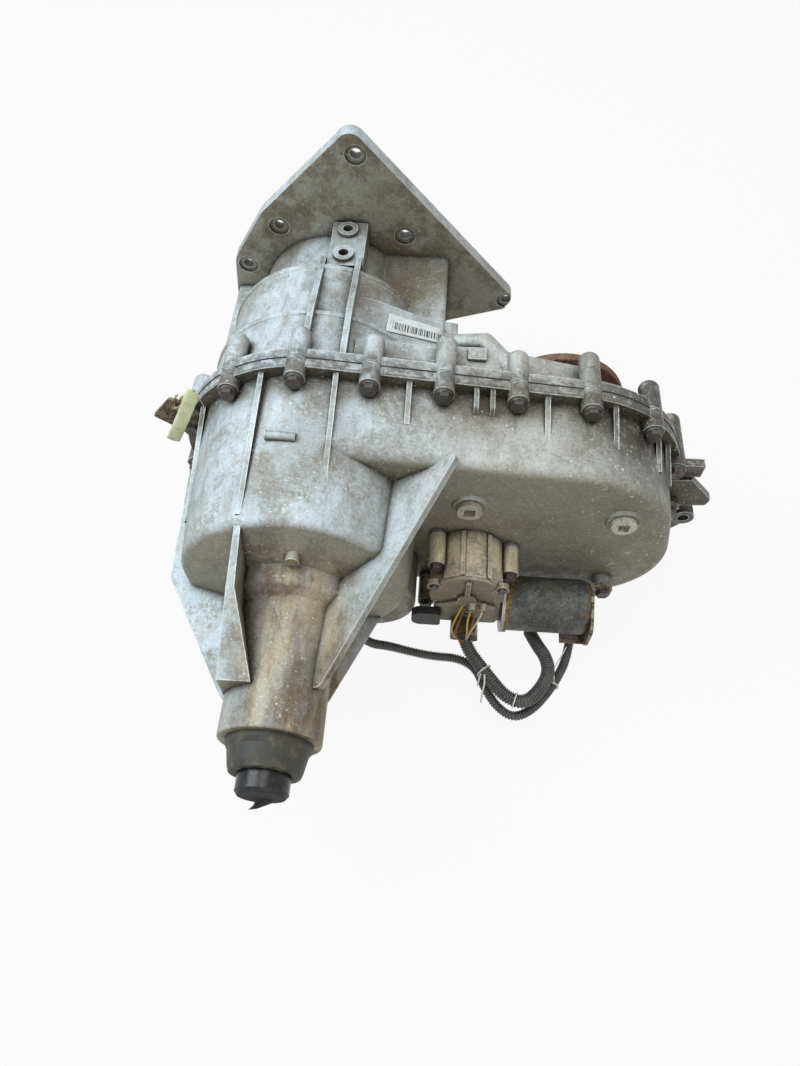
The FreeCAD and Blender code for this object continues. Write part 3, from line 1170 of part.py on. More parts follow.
def motor_housing():
    """Cast gear case: round chamber for the wheel, box for the worm, posts for its bolts."""
    bell = CAN_START - END_BELL
    outer = [cyl(MOTOR_CASE_R, MOTOR_FRONT, MOTOR_REAR, SHIFT)]
    outer.append(prism(WORM_BOX, MOTOR_FRONT - 14, MOTOR_REAR))
    outer.append(Part.makeBox(18, 28, 34, V(bell - 18, MOTOR_REAR, WORM[1] - 17)))
    for place, seat in MOTOR_SEATS.items():
        outer.append(cyl(MOTOR_POST_R, COVER_REAR - MOTOR_POST, seat, place))
        outer.append(prism_between(SHIFT, place, 7, MOTOR_FRONT - 10, MOTOR_REAR + 18))
    edge = MOTOR_CASE_R + 2
    for angle in (60, 100, 140):
        outer.append(radial_web(sharp([(20, MOTOR_FRONT - 2), (edge, MOTOR_FRONT - 2), (edge, MOTOR_REAR),
                                       (20, MOTOR_REAR)]), angle, 4, SHIFT))
    solid = fuse(outer)
    cuts = [cyl(WHEEL_R + 2.5, MOTOR_FRONT - 12, MOTOR_REAR - 1, SHIFT),
            cyl(SHIFT_R + RUN, MOTOR_FRONT + 1, MOTOR_REAR, SHIFT)]
    cuts.append(bar(WORM_ROOM_R, (SHIFT[0] - 24, *WORM), (bell + 1, *WORM)))
    for place, seat in MOTOR_SEATS.items():
        cuts.append(cyl(MOTOR_COLLAR_R + 0.6, seat, MOTOR_REAR - 1, place))
        cuts.append(cyl(MOTOR_BOLT_R, COVER_REAR, MOTOR_REAR, place))
        cuts.append(cyl(MOTOR_POST_R + GAP, COVER_REAR + 1, COVER_REAR - MOTOR_POST, place))
    for cut in cuts:
        solid = solid.cut(cut)
    return solid


def motor_cover():
    """Rear cover with a hub and three ribs, and its screw ears."""
    y0, y1 = MOTOR_REAR, MOTOR_REAR - MOTOR_COVER
    shapes = [turned([(0, y0, 0), (MOTOR_CASE_R, y0, 0), (MOTOR_CASE_R, y1 + 2, 2), (0, y1, 0)], SHIFT)]
    shapes.append(cyl(9, y0, y1 - 3, SHIFT))
    for angle in COVER_EARS:
        rib = sharp([(4, y1 + 3), (31, y1 + 3), (31, y1 - 1), (4, y1 - 3)])
        shapes.append(radial_web(rib, angle + 60, 4.5, SHIFT))
        shapes.append(cyl(6.5, y0, y1 + 1, cover_ear(angle)))
    return fuse(shapes + [prism(WORM_BOX, y0, y1 + 2)])


def cover_ear(angle):
    return (SHIFT[0] + EAR_REACH * cos(radians(angle)), SHIFT[1] + EAR_REACH * sin(radians(angle)))


def worm_wheel():
    return toothed_ring(WHEEL_TEETH, WHEEL_R - 2.2, WHEEL_R, (0.3, 0.17), SHIFT_R, WORM_Y + 5, WORM_Y - 5,
                        SHIFT)


def motor_worm():
    """Armature shaft with its worm, which turns the wheel."""
    y, z = WORM
    clear = WORM_DROP - WHEEL_R - GAP
    worm = bar(clear, (SHIFT[0] - 14, y, z), (SHIFT[0] + 14, y, z))
    shaft = bar(MOTOR_SHAFT_R, (SHIFT[0] - 24 + GAP, y, z), (CAN_END - CAN_WALL - GAP, y, z))
    core = bar(17, (CAN_START + 16, y, z), (CAN_END - 22, y, z))
    return fuse([worm, shaft, core])


def motor_can():
    """Drawn steel can, open at the gear case, with a seam flange and a rounded end."""
    y, z = WORM
    room, floor = CAN_R - CAN_WALL, CAN_END - CAN_WALL
    profile = [(CAN_R + 2, CAN_START, 0), (CAN_R + 2, CAN_START + 3, 0), (CAN_R, CAN_START + 3, 0),
               (CAN_R, CAN_END, 7), (0, CAN_END, 0), (0, floor, 0), (room, floor, 5), (room, CAN_START, 0)]
    wire = outline(profile, lambda r, x: V(x, y, z + r))
    return Part.Face(wire).revolve(V(0, y, z), V(1, 0, 0), 360)


def end_bell():
    """Plate that closes the can and carries the brush end of the shaft."""
    y, z = WORM
    plate = bar(CAN_R + 2, (CAN_START - END_BELL, y, z), (CAN_START, y, z))
    return plate.cut(bar(MOTOR_SHAFT_R + RUN, (CAN_START - END_BELL - 1, y, z), (CAN_START + 1, y, z)))


def motor_strap():
    """Steel strap behind the can's end, bent to a foot on the case boss."""
    y, z = WORM
    x = CAN_END
    low, high = STRAP_BOSS[1] - 11, STRAP_BOSS[1] + 11
    plate = [(STRAP_SEAT, high, 0), (STRAP_SEAT, low, 0), (y - 2, z - CAN_R - 2, 8),
             (y - CAN_R - 4, z - CAN_R, 8),
             (y - CAN_R - 4, z + 10, 12), (y + 2, z + 24, 8)]
    wire = outline(plate, lambda u, v: V(x, u, v))
    side = Part.Face(wire).extrude(V(STRAP_THICK, 0, 0))
    foot = prism([(x, low, 0), (STRAP_BOSS[0] + 9, low, 6), (STRAP_BOSS[0] + 9, high, 6), (x, high, 0)],
                 STRAP_SEAT, STRAP_SEAT - STRAP_THICK)
    hook = Part.makeBox(26, 22, STRAP_THICK, V(x - 23, y - 26, z - CAN_R - STRAP_THICK - 0.2))
    solid = fuse([side, foot, hook])
    return solid.cut(cyl(STRAP_BOLT_R + SLIP, STRAP_SEAT + 1, STRAP_SEAT - STRAP_THICK - 1, STRAP_BOSS))


def collar_bolt(r, end, seat, flats, collar, place):
    """Hexagon bolt with a flange under its head; the head points to the rear."""
    return fuse([cyl(r, end, seat, place), hexagon(flats, seat, seat - 5, place),
                 cyl(collar, seat, seat - 1.2, place)])


def motor_bolts():
    """The motor's bolts, the strap's bolt and the cover's screws."""
    bolts = [collar_bolt(MOTOR_BOLT_R - SLIP, COVER_REAR + 1, seat, 10, MOTOR_COLLAR_R, place)
             for place, seat in MOTOR_SEATS.items()]
    bolts.append(collar_bolt(STRAP_BOLT_R, COVER_REAR + 2, STRAP_SEAT - STRAP_THICK, 11, 6.6, STRAP_BOSS))
    y = MOTOR_REAR - MOTOR_COVER + 1
    head = [(0, y, 0), (3.8, y, 0), (3.8, y - 2.6, 1.2), (0, y - 2.6, 0)]
    return Part.makeCompound(bolts + [turned(head, cover_ear(angle)) for angle in COVER_EARS])


# ---- Harness, sensors and tags --------------------------------------------------------------

def socket(solid, route, r):
    """Cut the seat of a conduit's end, along its first run."""
    return solid.cut(bar(r + RUN, route[0], route[1]))


def wire_boot():
    """Flat boot below the motor's cover, out of which the main conduit runs."""
    boot = prism([(143, -84, 3), (167, -84, 3), (171, -106, 4), (143, -104, 4)],
                 MOTOR_REAR - MOTOR_COVER + 2, CONDUIT_MAIN_ROUTE[0][1] - 2)
    return socket(boot, CONDUIT_MAIN_ROUTE, CONDUIT_MAIN_R)


def harness_connector():
    """Oval connector on the rear face of the motor's worm box, beside the sump."""
    seat = MOTOR_REAR - MOTOR_COVER + 2
    x = SHIFT[0] - 23
    return prism([(x - 28, -66, 9), (x, -66, 4), (x, -90, 4), (x - 28, -90, 9)], seat, seat - 8)


def speed_sensor():
    """Sensor in the sump's rear wall, with the stub that the thin conduit leaves."""
    body = turned([(0, SUMP_REAR + 10, 0), (SENSOR_R, SUMP_REAR + 10, 1), (SENSOR_R, SUMP_REAR, 0),
                   (10.5, SUMP_REAR, 0), (10.5, SUMP_REAR - 5, 1), (7, SUMP_REAR - 6, 0),
                   (7, SENSOR_END - 2, 1),
                   (0, SENSOR_END - 2, 0)], SENSOR)
    return socket(body, CONDUIT_SENSOR_ROUTE, CONDUIT_SENSOR_R)


def cable_ties():
    """Bands round the conduits, each face to face on a straight middle of a run."""
    bands = []
    for route, r, run in ((CONDUIT_MAIN_ROUTE, CONDUIT_MAIN_R, 2), (CONDUIT_MAIN_ROUTE, CONDUIT_MAIN_R, 4),
                          (CONDUIT_SENSOR_ROUTE, CONDUIT_SENSOR_R, 12)):
        a, b = V(*route[run]), V(*route[run + 1])
        along = (b - a).normalize()
        base = (a + b) * 0.5 - along * 0.6
        bands.append(Part.makeCylinder(r + 1.6, 1.2, base, along).cut(Part.makeCylinder(r, 1.2, base, along)))
    return Part.makeCompound(bands)


def tag_bracket():
    """Pointed steel tab held by one of the case bolts."""
    x, z = BOLT_PLACES[TAB_BOLT]
    tab = prism([(x + 7, z + 2, 5), (x + 4, z + 30, 4), (x - 14, z + 36, 3), (x - 34, z + 12, 3),
                 (x - 8, z - 9, 6)],
                BOLT_SEAT, BOLT_SEAT - TAB_THICK)
    return tab.cut(cyl(BOLT_R + SLIP, BOLT_SEAT + 1, BOLT_SEAT - TAB_THICK - 1, (x, z)))


# ---- Assembly -------------------------------------------------------------------------------

def build():
    keep("front_case", front_case())
    keep("rear_case", rear_case())
    keep("case_sealant", case_sealant())
    keep("case_bolts", case_bolts())
    keep("dowel_pins", dowel_pins())
    for name, place in PLUG_PLACES.items():
        keep(name, square_plug(place))
    keep("rear_seal_boot", rear_seal_boot())
    keep("tail_plug", tail_plug())
    keep("input_shaft", input_shaft())
    keep("input_seal", input_seal())
    keep("input_bearing", ball_bearing(INPUT_BEARING, INPUT_BEARING_Y, balls=10))
    keep("pilot_bearing", pilot_bearing())
    keep("ring_gear", ring_gear())
    keep("planet_carrier", planet_carrier())
    keep("planet_pins", planet_pins())
    for k, place in enumerate(planet_places()):
        keep("planet_gear_%d" % (k + 1), planet_gear(place))
    keep("range_hub", range_hub())
    keep("main_shaft", main_shaft())
    keep("rear_bearing", ball_bearing(REAR_BEARING, REAR_BEARING_Y))
    keep("tail_bushing", tube(BUSH_OUT_R, BUSH_R, BUSH_FRONT, BUSH_REAR))
    keep("tone_ring", tone_ring())
    keep("drive_sprocket", sprocket(INPUT, CHAIN_MID + 20, CAGE_FRONT, MAIN_R + RUN))
    keep("driven_sprocket", sprocket(OUTPUT, CHAIN_MID + 16, CHAIN_MID - 16, OUTPUT_SPROCKET_R))
    keep("drive_chain", drive_chain())
    keep("clutch_cage", clutch_cage())
    keep("clutch_hub", clutch_hub())
    keep("steel_plates", clutch_plates(STEEL_BORE_R, CAGE_R - CAGE_WALL, 0))
    keep("friction_plates", clutch_plates(CLUTCH_HUB_R, FRICTION_R, 1))
    keep("clutch_armature", armature())
    keep("clutch_coil", clutch_coil())
    keep("oil_pump", oil_pump())
    keep("oil_pickup", oil_pickup())
    keep("front_output_shaft", front_output_shaft())
    keep("front_output_flange", front_output_flange())
    keep("flange_nut", flange_nut())
    keep("output_seal", output_seal())
    keep("output_bearing", ball_bearing(OUTPUT_BEARING, OUTPUT_BEARING_Y, OUTPUT))
    keep("output_needle", rear_needle())
    keep("shift_rail", shift_rail())
    keep("shift_fork", shift_fork())
    keep("shift_shaft", shift_shaft())
    keep("motor_housing", motor_housing())
    keep("motor_cover", motor_cover())
    keep("worm_wheel", worm_wheel())
    keep("motor_worm", motor_worm())
    keep("motor_end_bell", end_bell())
    keep("motor_can", motor_can())
    keep("motor_strap", motor_strap())
    keep("motor_bolts", motor_bolts())
    keep("wire_boot", wire_boot())
    keep("speed_sensor", speed_sensor())
    keep("conduit_main", cord_tube("conduit_main", CONDUIT_MAIN_ROUTE, CONDUIT_MAIN_R))
    keep("conduit_sensor", cord_tube("conduit_sensor", CONDUIT_SENSOR_ROUTE, CONDUIT_SENSOR_R))
    keep("cable_ties", cable_ties())
    keep("harness_connector", harness_connector())
    keep("tag_bracket", tag_bracket())


os.makedirs("parts", exist_ok=True)
build()
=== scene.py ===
"""Looks of the transfer case: materials, harness, label, tag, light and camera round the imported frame."""

import bmesh
import bpy
from math import cos, pi, radians, sin
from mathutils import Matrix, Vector
from mathutils.bvhtree import BVHTree


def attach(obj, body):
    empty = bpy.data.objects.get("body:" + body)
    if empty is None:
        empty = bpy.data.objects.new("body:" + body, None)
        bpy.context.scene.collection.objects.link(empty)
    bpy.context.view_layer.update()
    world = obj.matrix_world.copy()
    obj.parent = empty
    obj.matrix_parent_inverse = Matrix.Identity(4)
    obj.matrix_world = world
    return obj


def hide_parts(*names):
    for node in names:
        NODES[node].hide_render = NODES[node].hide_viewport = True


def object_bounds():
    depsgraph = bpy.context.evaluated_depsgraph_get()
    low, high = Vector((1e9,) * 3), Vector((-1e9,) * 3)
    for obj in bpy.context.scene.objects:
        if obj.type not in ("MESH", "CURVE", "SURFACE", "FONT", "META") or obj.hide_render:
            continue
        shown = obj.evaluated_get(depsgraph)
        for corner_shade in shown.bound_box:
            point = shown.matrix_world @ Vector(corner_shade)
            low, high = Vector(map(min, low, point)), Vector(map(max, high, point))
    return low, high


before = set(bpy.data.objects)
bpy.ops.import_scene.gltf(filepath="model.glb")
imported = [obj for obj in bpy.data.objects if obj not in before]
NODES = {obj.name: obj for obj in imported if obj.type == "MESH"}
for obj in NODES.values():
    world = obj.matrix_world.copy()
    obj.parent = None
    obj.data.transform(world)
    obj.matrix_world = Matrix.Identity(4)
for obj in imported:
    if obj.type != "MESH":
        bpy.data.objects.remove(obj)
cad_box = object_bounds()
MM = 0.001


# ---- Materials ------------------------------------------------------------------------------

class Look:
    """A node material built from a few named steps; places are in the part's frame, in metres."""

    def __init__(self, name):
        self.material = bpy.data.materials.new(name)
        self.material.use_nodes = True
        self.tree = self.material.node_tree
        self.shader = self.tree.nodes["Principled BSDF"]
        self.coordinates = self.add("ShaderNodeTexCoord")
        self.place = self.coordinates.outputs["Object"]

    def add(self, kind, **settings):
        """A new node with its settings."""
        node = self.tree.nodes.new(kind)
        for key, value in settings.items():
            setattr(node, key, value)
        return node

    def feed(self, socket, value):
        """Link another node's output to a socket, or set the socket's own number."""
        if isinstance(value, bpy.types.NodeSocket):
            self.tree.links.new(value, socket)
        else:
            socket.default_value = value

    def noise(self, size, detail=4.0, rough=0.55, stretch=(1, 1, 1)):
        """Cloudy value from 0 to 1 whose blobs are about that size, in metres."""
        scale = self.add("ShaderNodeMapping")
        scale.inputs["Scale"].default_value = stretch
        self.feed(scale.inputs["Vector"], self.place)
        node = self.add("ShaderNodeTexNoise")
        self.feed(node.inputs["Vector"], scale.outputs["Vector"])
        node.inputs["Scale"].default_value = 1 / size
        node.inputs["Detail"].default_value = detail
        node.inputs["Roughness"].default_value = rough
        return node.outputs["Fac"]

    def cells(self, size):
        """Distance from the nearest of scattered points, for pits and spots."""
        node = self.add("ShaderNodeTexVoronoi")
        self.feed(node.inputs["Vector"], self.place)
        node.inputs["Scale"].default_value = 1 / size
        return node.outputs["Distance"]

    def ramp(self, value, low, high, start=0.0, end=1.0):
        """start below low, end above high, smooth between."""
        node = self.add("ShaderNodeMapRange", interpolation_type="SMOOTHSTEP")
        self.feed(node.inputs["Value"], value)
        for name, number in (("From Min", low), ("From Max", high), ("To Min", start), ("To Max", end)):
            node.inputs[name].default_value = number
        return node.outputs["Result"]

    def sum(self, a, b, operation="ADD"):
        """a + b, or another operation of two values."""
        node = self.add("ShaderNodeMath", operation=operation)
        self.feed(node.inputs[0], a)
        self.feed(node.inputs[1], b)
        return node.outputs["Value"]

    def times(self, a, b):
        return self.sum(a, b, "MULTIPLY")

    def most(self, a, b):
        return self.sum(a, b, "MAXIMUM")

    def mix(self, share, under, over):
        """Colour under with that share of colour over on it."""
        node = self.add("ShaderNodeMix", data_type="RGBA")
        self.feed(node.inputs["Factor"], share)
        for socket, value in ((node.inputs["A"], under), (node.inputs["B"], over)):
            socket = [s for s in node.inputs if s.name == socket.name and s.type == "RGBA"][0]
            self.feed(socket, (*value, 1) if isinstance(value, tuple) else value)
        return [s for s in node.outputs if s.type == "RGBA"][0]

    def part_of(self, vector, letter):
        """One of the three parts of a vector."""
        node = self.add("ShaderNodeSeparateXYZ")
        self.feed(node.inputs["Vector"], vector)
        return node.outputs[letter]

    def axis(self, letter):
        """The place along X, Y or Z, in metres."""
        return self.part_of(self.place, letter)

    def upward(self):
        """How far the surface faces up, from -1 to 1."""
        return self.part_of(self.coordinates.outputs["Normal"], "Z")

    def rearward(self):
        """How far the surface faces the tail's end, from -1 to 1."""
        return self.times(self.part_of(self.coordinates.outputs["Normal"], "Y"), -1.0)

    def near(self, place, reach):
        """1 at a place in millimetres, 0 beyond reach, in metres; its edge is ragged."""
        node = self.add("ShaderNodeVectorMath", operation="DISTANCE")
        self.feed(node.inputs[0], self.place)
        node.inputs[1].default_value = [c * MM for c in place]
        ragged = self.sum(node.outputs["Value"], self.times(self.noise(0.015, 5, 0.65), 0.5 * reach))
        return self.ramp(ragged, 1.1 * reach, 0.55 * reach)

    def corners(self, reach):
        """1 on open surfaces, less in corners nearer than reach, in metres."""
        node = self.add("ShaderNodeAmbientOcclusion", samples=6)
        node.inputs["Distance"].default_value = reach
        return node.outputs["AO"]

    def edges(self, reach):
        """1 along sharp outer edges, 0 on flat open faces; reach is in metres."""
        eased = self.add("ShaderNodeBevel", samples=4)
        eased.inputs["Radius"].default_value = reach
        turn = self.add("ShaderNodeVectorMath", operation="DOT_PRODUCT")
        self.feed(turn.inputs[0], eased.outputs["Normal"])
        self.feed(turn.inputs[1], self.add("ShaderNodeNewGeometry").outputs["Normal"])
        turned = self.ramp(turn.outputs["Value"], 0.985, 0.90)
        return self.times(turned, self.ramp(self.corners(0.004), 0.72, 0.92))

    def bump(self, *layers):
        """Layers of (height value, depth in metres), from coarse to fine."""
        normal = None
        for value, depth in layers:
            node = self.add("ShaderNodeBump")
            node.inputs["Distance"].default_value = depth
            self.feed(node.inputs["Height"], value)
            if normal:
                self.feed(node.inputs["Normal"], normal)
            normal = node.outputs["Normal"]
        self.feed(self.shader.inputs["Normal"], normal)

    def finish(self, colour, roughness, metal=0.0, **others):
        """The finished material; others name the shader's further inputs, with _ for a space."""
        self.feed(self.shader.inputs["Base Color"], colour)
        self.feed(self.shader.inputs["Roughness"], roughness)
        self.feed(self.shader.inputs["Metallic"], metal)
        for name, value in others.items():
            self.shader.inputs[name.replace("_", " ")].default_value = value
        return self.material


def shade(colour, factor):
    """Colour made lighter or darker by a factor, short of pure white."""
    return tuple(min(0.95, factor * c) for c in colour)


# Bands of the case in metres; each stain, band of painted shade and shift of painted light sets in from the
# first number to the second
TAIL_Y = (-0.375, -0.400)
TAIL_LEFT_X = (-0.022, 0.012)
TAIL_RIGHT_X = (0.094, 0.070)
SHELTER_REAR_Y = (-0.275, -0.243)
SHELTER_FRONT_Y = (-0.2335, -0.2345)
ADAPTER_Y = (-0.030, -0.015)
RIGHT_END_X = (0.200, 0.300)
RIGHT_END_Y = (-0.320, -0.255)
CRUST_X = (0.22, 0.28)
COVER_LOW_Z = (-0.02, -0.09)
COVER_REAR_Y = (-0.28, -0.31)
SPOTTED_Y = (-0.12, -0.20)
WARM_X = (0.03, 0.20)
SPLIT_Y = -0.229
SEAM_BEFORE = (0.022, 0.003)
SEAM_BEHIND = (-0.030, -0.004)

# Colours of dust and stains, and of painted top light and painted shade
WARM_LIT_DUST = (0.53, 0.54, 0.51)
FILM_BROWN = (0.27, 0.24, 0.17)
STAIN_BROWN = (0.20, 0.18, 0.135)
TAIL_BROWN = (0.17, 0.125, 0.065)
TAIL_TAN = (0.40, 0.335, 0.22)
GRIME_BROWN = (0.14, 0.105, 0.06)
SHELTER_SHADE_AND_GRIME = (0.13, 0.105, 0.07)
ADAPTER_GREY = (0.40, 0.39, 0.33)
ADAPTER_BROWN = (0.135, 0.095, 0.055)
CRUST_WHITE = (0.86, 0.88, 0.86)
SPECK_BROWN = (0.09, 0.075, 0.05)
OIL_FILM = (0.10, 0.075, 0.04)

# Brown patches on the case: place in millimetres, reach in metres, and strength
GRIMY_PLACES = (
    ((78, -45, 62), 0.080, 0.80), ((20, -8, 110), 0.070, 0.55), ((60, -80, 60), 0.050, 0.80),
    ((40, -110, 90), 0.040, 0.55), ((70, -200, 96), 0.034, 0.60), ((20, -300, 100), 0.060, 0.35),
    ((-60, -20, 60), 0.055, 0.65), ((-20, -340, 95), 0.045, 0.40), ((150, -250, 90), 0.060, 0.45))


def case_stains(look, colour, blotch, streak):
    """Browned tail, grimy patches, the band behind the split flange with painted shade under the flange and
    some grime, and the adapter's plate.
    """
    across = look.sum(look.axis("X"), look.times(look.noise(0.03, 5, 0.65), 0.05))
    tail = look.times(look.ramp(look.axis("Y"), *TAIL_Y), look.ramp(across, *TAIL_LEFT_X))
    tail = look.times(tail, look.ramp(across, *TAIL_RIGHT_X))
    tail = look.times(tail, look.ramp(streak, 0.34, 0.58, 0.55, 0.95))
    runs = look.ramp(look.noise(0.022, 5, 0.6, (1, 0.3, 1)), 0.42, 0.58)
    colour = look.mix(tail, colour, look.mix(runs, TAIL_BROWN, TAIL_TAN))

    for place, reach, share in GRIMY_PLACES:
        colour = look.mix(look.times(look.near(place, reach), share), colour, GRIME_BROWN)

    # Dark brown band behind the split flange: painted shade under the flange, with some grime
    shade_and_grime_band = look.times(look.ramp(look.axis("Y"), *SHELTER_REAR_Y),
                         look.ramp(look.axis("Y"), *SHELTER_FRONT_Y))
    shade_and_grime_band = look.times(shade_and_grime_band, look.ramp(look.noise(0.014, 5, 0.65), 0.34, 0.54, 0.35, 1.0))
    colour = look.mix(look.times(shade_and_grime_band, 0.72), colour, SHELTER_SHADE_AND_GRIME)

    plate = look.times(look.ramp(look.axis("Y"), *ADAPTER_Y), look.ramp(look.rearward(), 0.4, 0.9))
    greyed = look.times(plate, look.ramp(blotch, 0.42, 0.56, 0.10, 0.85))
    colour = look.mix(greyed, colour, ADAPTER_GREY)
    browned = look.times(plate, look.ramp(look.noise(0.032, 6, 0.7), 0.49, 0.60))
    return look.mix(look.times(browned, 0.58), colour, ADAPTER_BROWN)


def case_oil_and_shade(look, streak):
    """Share of dark oil along the split and over the right end, and low on the rear of the chain cover a
    darkening that is partly oil and partly painted shade.
    """
    beside = look.sum(look.axis("Y"), -SPLIT_Y)
    seam = look.times(look.ramp(beside, *SEAM_BEFORE), look.ramp(beside, *SEAM_BEHIND))
    seam = look.times(seam, look.ramp(look.noise(0.010, 6, 0.7), 0.42, 0.56, 0.12, 1.0))
    end = look.times(look.ramp(look.axis("X"), *RIGHT_END_X),
                     look.ramp(look.axis("Y"), *RIGHT_END_Y, 0.30, 1.0))
    end = look.times(end, look.ramp(look.noise(0.016, 6, 0.75), 0.37, 0.49, 0.35, 1.0))
    oil = look.most(look.times(end, 0.92), look.times(seam, 0.7))
    # Low on the rear of the chain cover: partly oil, partly painted shade
    lower = look.times(look.ramp(look.axis("Z"), *COVER_LOW_Z), look.ramp(look.axis("Y"), *COVER_REAR_Y))
    return look.most(oil, look.times(lower, look.ramp(streak, 0.4, 0.6, 0.15, 0.5)))


def cast_metal(name, pale=(0.40, 0.40, 0.37), warm=(0.25, 0.232, 0.185), dirt_and_shade=(0.055, 0.046, 0.032),
               dusty=(0.58, 0.65, 0.69), shaded=(0.28, 0.262, 0.205), case=True):
    """Sand-cast aluminium: painted top light with some dust on what faces up, painted shade where it faces
    the tail and in corners, grime, and the case's own stains.
    """
    look = Look(name)
    blotch = look.noise(0.045, 6, 0.62)
    streak = look.noise(0.012, 6, 0.68, (1, 0.35, 1))
    grain = look.noise(0.0016, 4, 0.65)
    fine = look.noise(0.0042, 5, 0.72)
    mottle = look.noise(0.0026, 6, 0.85)
    bright = shade(dusty, 1.5)

    # Bare casting, with painted shade where it faces the tail, and on what faces up a pale colour that is
    # painted top light with some dust, bluish to the left and warm to the right
    colour = look.mix(look.ramp(blotch, 0.38, 0.62), warm, pale)
    colour = look.mix(look.times(look.ramp(look.rearward(), 0.30, 0.85), 0.85), colour, shaded)
    lit_and_dusted = look.times(look.ramp(look.upward(), 0.10, 0.80), look.ramp(streak, 0.32, 0.60, 0.35, 1.0))
    dust = look.mix(look.ramp(look.axis("X"), *WARM_X), dusty, WARM_LIT_DUST) if case else dusty
    colour = look.mix(lit_and_dusted, colour, dust)

    # Thin brown films, and the stains and the painted shade that only the case has
    film = look.times(look.ramp(blotch, 0.48, 0.62), look.ramp(fine, 0.42, 0.58))
    colour = look.mix(look.times(film, 0.6), colour, FILM_BROWN)
    stain = look.ramp(look.noise(0.055, 6, 0.65), 0.50, 0.60)
    stain = look.times(stain, look.ramp(fine, 0.36, 0.54, 0.4, 1.0))
    colour = look.mix(look.times(stain, 0.55), colour, STAIN_BROWN)
    oil = 0.0
    if case:
        colour = case_stains(look, colour, blotch, streak)
        oil = case_oil_and_shade(look, streak)
        colour = look.mix(oil, colour, dirt_and_shade)

    # Painted shade in the corners and creases, salt and pepper over all, and a painted highlight along
    # sharp outer edges
    corner_shade = look.times(look.ramp(look.corners(0.014), 0.84, 0.40),
                        look.ramp(streak, 0.30, 0.55, 0.55, 1.0))
    colour = look.mix(look.times(corner_shade, 0.9), colour, dirt_and_shade)
    crease_shade = look.times(look.ramp(look.corners(0.0035), 0.80, 0.50),
                         look.ramp(fine, 0.34, 0.50, 0.4, 1.0))
    colour = look.mix(look.times(crease_shade, 0.9), colour, shade(dirt_and_shade, 0.5))
    colour = look.mix(look.ramp(mottle, 0.48, 0.34, 0.0, 0.45), colour, shade(dirt_and_shade, 2.0))
    colour = look.mix(look.ramp(mottle, 0.54, 0.68, 0.0, 0.45), colour, bright)
    edge_highlight = look.times(look.edges(0.0016), look.ramp(fine, 0.36, 0.56, 0.35, 0.95))
    colour = look.mix(edge_highlight, colour, bright)

    # White spots of oxide, with a crust of them on the case's right end, and dark specks
    spots = look.times(look.ramp(look.cells(0.007), 0.15, 0.05),
                       look.ramp(look.noise(0.03, 5, 0.7), 0.49, 0.57))
    if case:
        spots = look.times(spots, look.ramp(look.axis("Y"), *SPOTTED_Y, 0.15, 1.0))
        crust = look.times(look.ramp(look.cells(0.005), 0.28, 0.16),
                           look.ramp(look.noise(0.012, 5, 0.75), 0.54, 0.60))
        spots = look.most(spots, look.times(crust, look.ramp(look.axis("X"), *CRUST_X)))
    colour = look.mix(look.times(spots, 0.85), colour, CRUST_WHITE)
    speck = look.ramp(look.noise(0.0030, 5, 0.75), 0.59, 0.67)
    colour = look.mix(look.times(speck, 0.6), colour, SPECK_BROWN)

    rough = look.sum(look.ramp(streak, 0.3, 0.7, 0.38, 0.62), look.times(oil, -0.15))
    look.bump((look.noise(0.02, 3), 0.0007), (streak, 0.0005), (fine, 0.0006), (mottle, 0.0004),
              (grain, 0.0003))
    return look.finish(colour, rough, 0.35)


def worn_steel(name, colour=(0.085, 0.085, 0.08), rust=(0.16, 0.075, 0.035), rusted=0.3, rough=0.42,
               metal=0.75):
    """Bare or plated steel with rust in patches; rusted is how much of it has gone."""
    look = Look(name)
    patch = look.noise(0.006, 6, 0.7)
    onset = 0.62 - 0.35 * rusted
    share = look.ramp(patch, onset, onset + 0.10)
    tone = look.mix(look.ramp(look.noise(0.02, 4), 0.3, 0.7), colour, shade(colour, 1.5))
    rusty = look.mix(look.ramp(look.noise(0.003, 5), 0.4, 0.65), rust, shade(rust, 0.45))
    look.bump((patch, 0.0003), (look.noise(0.0012, 4), 0.00012))
    return look.finish(look.mix(share, tone, rusty), look.ramp(patch, 0.4, 0.75, rough, 0.85),
                       look.ramp(share, 0.2, 0.9, metal, 0.0))


def machined(name, colour, rough=0.3, oil=0.35):
    """Turned or ground steel with fine tool lines and a film of oil."""
    look = Look(name)
    lines = look.noise(0.004, 3, 0.5, (1, 40, 1))
    film = look.ramp(look.noise(0.018, 4), 0.42, 0.62)
    tone = look.mix(look.times(film, oil), colour, OIL_FILM)
    look.bump((lines, 0.00003))
    return look.finish(tone, look.ramp(lines, 0.3, 0.7, rough - 0.08, rough + 0.12), 0.9)


def moulded(name, colour, dust, dusty, rough):
    """Rubber, plastic or paper with that share of dust on it and a slight grain."""
    look = Look(name)
    settle = look.times(look.ramp(look.noise(0.012, 5, 0.65), 0.42, 0.72), dusty)
    look.bump((look.noise(0.006, 4), 0.00012), (look.noise(0.0008, 3), 0.00005))
    return look.finish(look.mix(settle, colour, dust),
                       look.ramp(settle, 0.0, 0.4, rough, min(0.9, rough + 0.3)))


